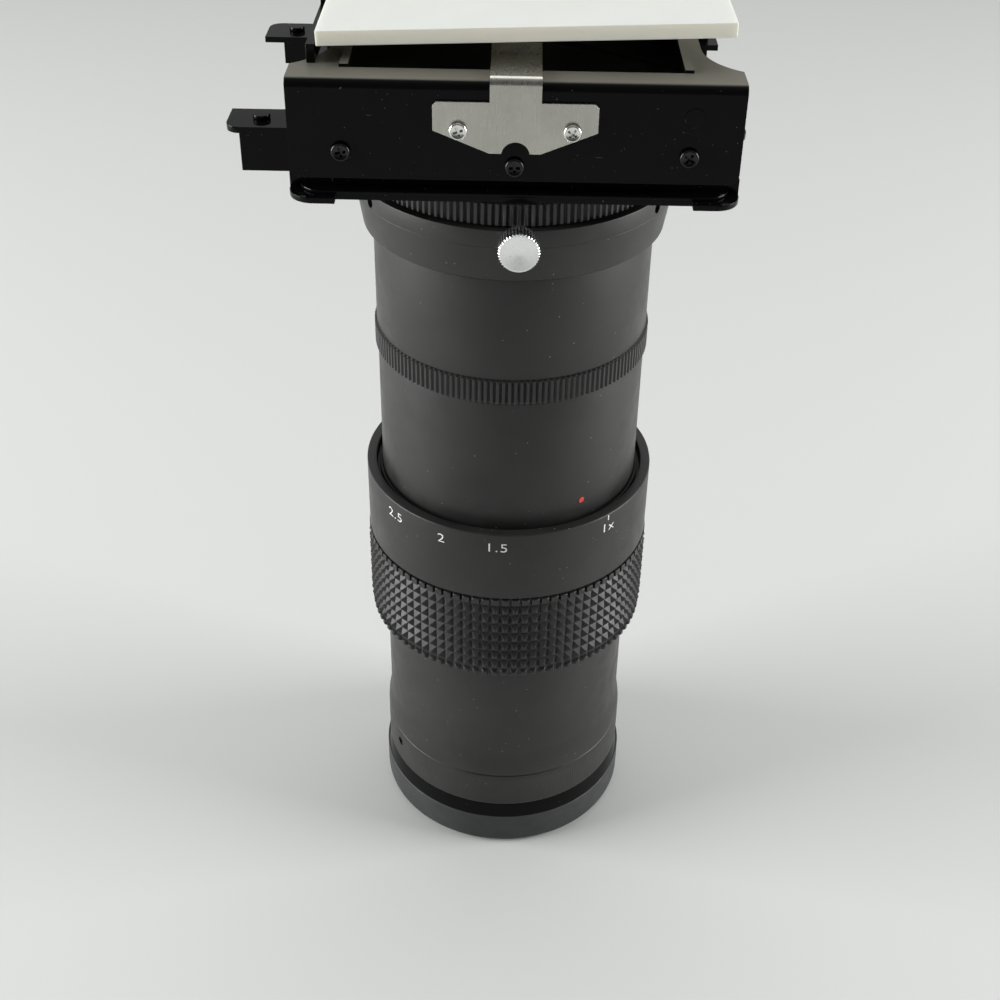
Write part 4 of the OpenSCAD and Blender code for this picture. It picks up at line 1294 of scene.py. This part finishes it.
def cross_screw(x: float, z: float, seat: float, radius: float, tall: float, shank: float, end: int,
                twist: float) -> bpy.types.Object:
    """Makes a pan-head screw with a cross recess, on the front or the rear flange.

    Args:
        x: Its place across.
        z: Its height.
        seat: How far from the middle its head seats.
        radius: The head's radius.
        tall: The head's height.
        shank: The length under the head.
        end: -1 for the front, 1 for the rear.
        twist: How far the recess is turned, in degrees.

    Returns:
        The new object.
    """
    crown = [(1.0, 0.45), (0.99, 0.66), (0.95, 0.84), (0.88, 0.96), (0.8, 1.0), (0.72, 0.97),
             (0.62, 0.86), (0.0, 0.8)]
    stem = radius * 0.62
    outline = [(0.0, -shank), (stem, -shank), (stem, 0.0), (radius, 0.0),
               *((radius * wide, tall * high) for wide, high in crown)]
    head = turned("screw", outline, 40)
    bars = []
    for angle in (0, 90):
        bench = bmesh.new()
        bmesh.ops.create_cube(bench, size=1.0)
        bench.transform(Matrix.Rotation(math.radians(angle + twist), 4, "Z")
                        @ Matrix.Translation((0, 0, tall * 0.75))
                        @ Matrix.Diagonal((radius * 1.15, radius * 0.3, tall * 1.2, 1)))
        bars.append(shaded("bar", stored("bar", bench)))
    cut(head, bars)
    place = Matrix.Translation((x, end * seat, z)) @ Matrix.Rotation(math.pi / 2 * -end, 4, "X")
    head.data.transform(place)
    return head


# ---------------------------------------------------------------- the studio


@dataclass(frozen=True)
class Studio:
    """The floor, the lights and the photograph's viewpoint."""

    focal: float = 52.2
    sensor: float = 36.0
    eye: tuple[float, float, float] = (0.0, -0.2370, 0.2428)
    pitch: float = math.radians(35.72)
    yaw: float = math.radians(-0.30)
    roll: float = math.radians(1.18)
    front: float = 0.10
    back: float = 0.52

    def build(self) -> None:
        """Sets the camera, the floor, the lights and the view settings."""
        self.camera()
        self.floor()
        self.lights()
        bpy.context.scene.view_settings.view_transform = "Standard"

    def camera(self) -> None:
        """Places the camera where the photograph was taken from."""
        ahead = Vector((0, math.cos(self.pitch), -math.sin(self.pitch)))
        side = Vector((1, 0, 0))
        up = Vector((0, math.sin(self.pitch), math.cos(self.pitch)))
        look = ahead * math.cos(self.yaw) + side * math.sin(self.yaw)
        side = side * math.cos(self.yaw) - ahead * math.sin(self.yaw)
        right = side * math.cos(self.roll) + up * math.sin(self.roll)
        over = up * math.cos(self.roll) - side * math.sin(self.roll)
        data = bpy.data.cameras.new("viewpoint")
        data.lens = self.focal
        data.sensor_width = self.sensor
        data.clip_start = 0.01
        camera = placed("viewpoint", data)
        camera.matrix_world = Matrix((
            (right.x, over.x, -look.x, self.eye[0]),
            (right.y, over.y, -look.y, self.eye[1]),
            (right.z, over.z, -look.z, self.eye[2]),
            (0, 0, 0, 1),
        ))
        bpy.context.scene.camera = camera

    def floor(self) -> None:
        """Lays a plain pale floor."""
        half = 30.0
        mesh = bpy.data.meshes.new("floor")
        corners = [(-half, -half, 0), (half, -half, 0), (half, half, 0), (-half, half, 0)]
        mesh.from_pydata(corners, [], [(0, 1, 2, 3)])
        plane = placed("floor", mesh)
        bench = Bench("floor_card")
        bench.set(Roughness=0.7, Base_Color=(0.56, 0.57, 0.555, 1.0))
        mesh.materials.append(bench.material)

    def lights(self) -> None:
        """Hangs large soft lights in a surround that is dimmer behind the camera."""
        world = bpy.data.worlds.new("surround")
        world.use_nodes = True
        tree = world.node_tree
        backdrop = tree.nodes["Background"]
        backdrop.inputs["Color"].default_value = (0.86, 0.87, 0.86, 1.0)
        where = tree.nodes.new("ShaderNodeTexCoord")
        apart = tree.nodes.new("ShaderNodeSeparateXYZ")
        ramp = tree.nodes.new("ShaderNodeMapRange")
        ramp.interpolation_type = "SMOOTHSTEP"
        for socket, value in (("From Min", -0.85), ("From Max", 0.25), ("To Min", self.front),
                              ("To Max", self.back)):
            ramp.inputs[socket].default_value = value
        tree.links.new(where.outputs["Generated"], apart.inputs[0])
        tree.links.new(apart.outputs["Y"], ramp.inputs["Value"])
        tree.links.new(ramp.outputs["Result"], backdrop.inputs["Strength"])
        bpy.context.scene.world = world
        for name, place, size, power in (
            ("window_left", (-0.95, -0.12, 0.30), (0.6, 0.6), 16.0),
            ("window_right", (0.95, -0.05, 0.30), (0.5, 0.6), 13.0),
            ("ceiling", (0.05, 0.55, 1.25), (1.2, 0.9), 5.0),
        ):
            data = bpy.data.lights.new(name, "AREA")
            data.shape = "RECTANGLE"
            data.size, data.size_y = size
            data.energy = power
            lamp = placed(name, data)
            lamp.location = place
            aim = Vector((0, 0, 0.09)) - Vector(place)
            lamp.rotation_euler = aim.to_track_quat("-Z", "Y").to_euler()


def main() -> None:
    """Builds every piece round the frame, then the studio."""
    logging.basicConfig(level=logging.INFO, format="%(message)s")
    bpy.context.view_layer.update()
    looks = Materials()
    for part in (CameraEnd(), ZoomBarrel(), FrontBarrel(), Lens(), Stage()):
        part.build(looks)
    Studio().build()


if __name__ == "__main__":
    main()
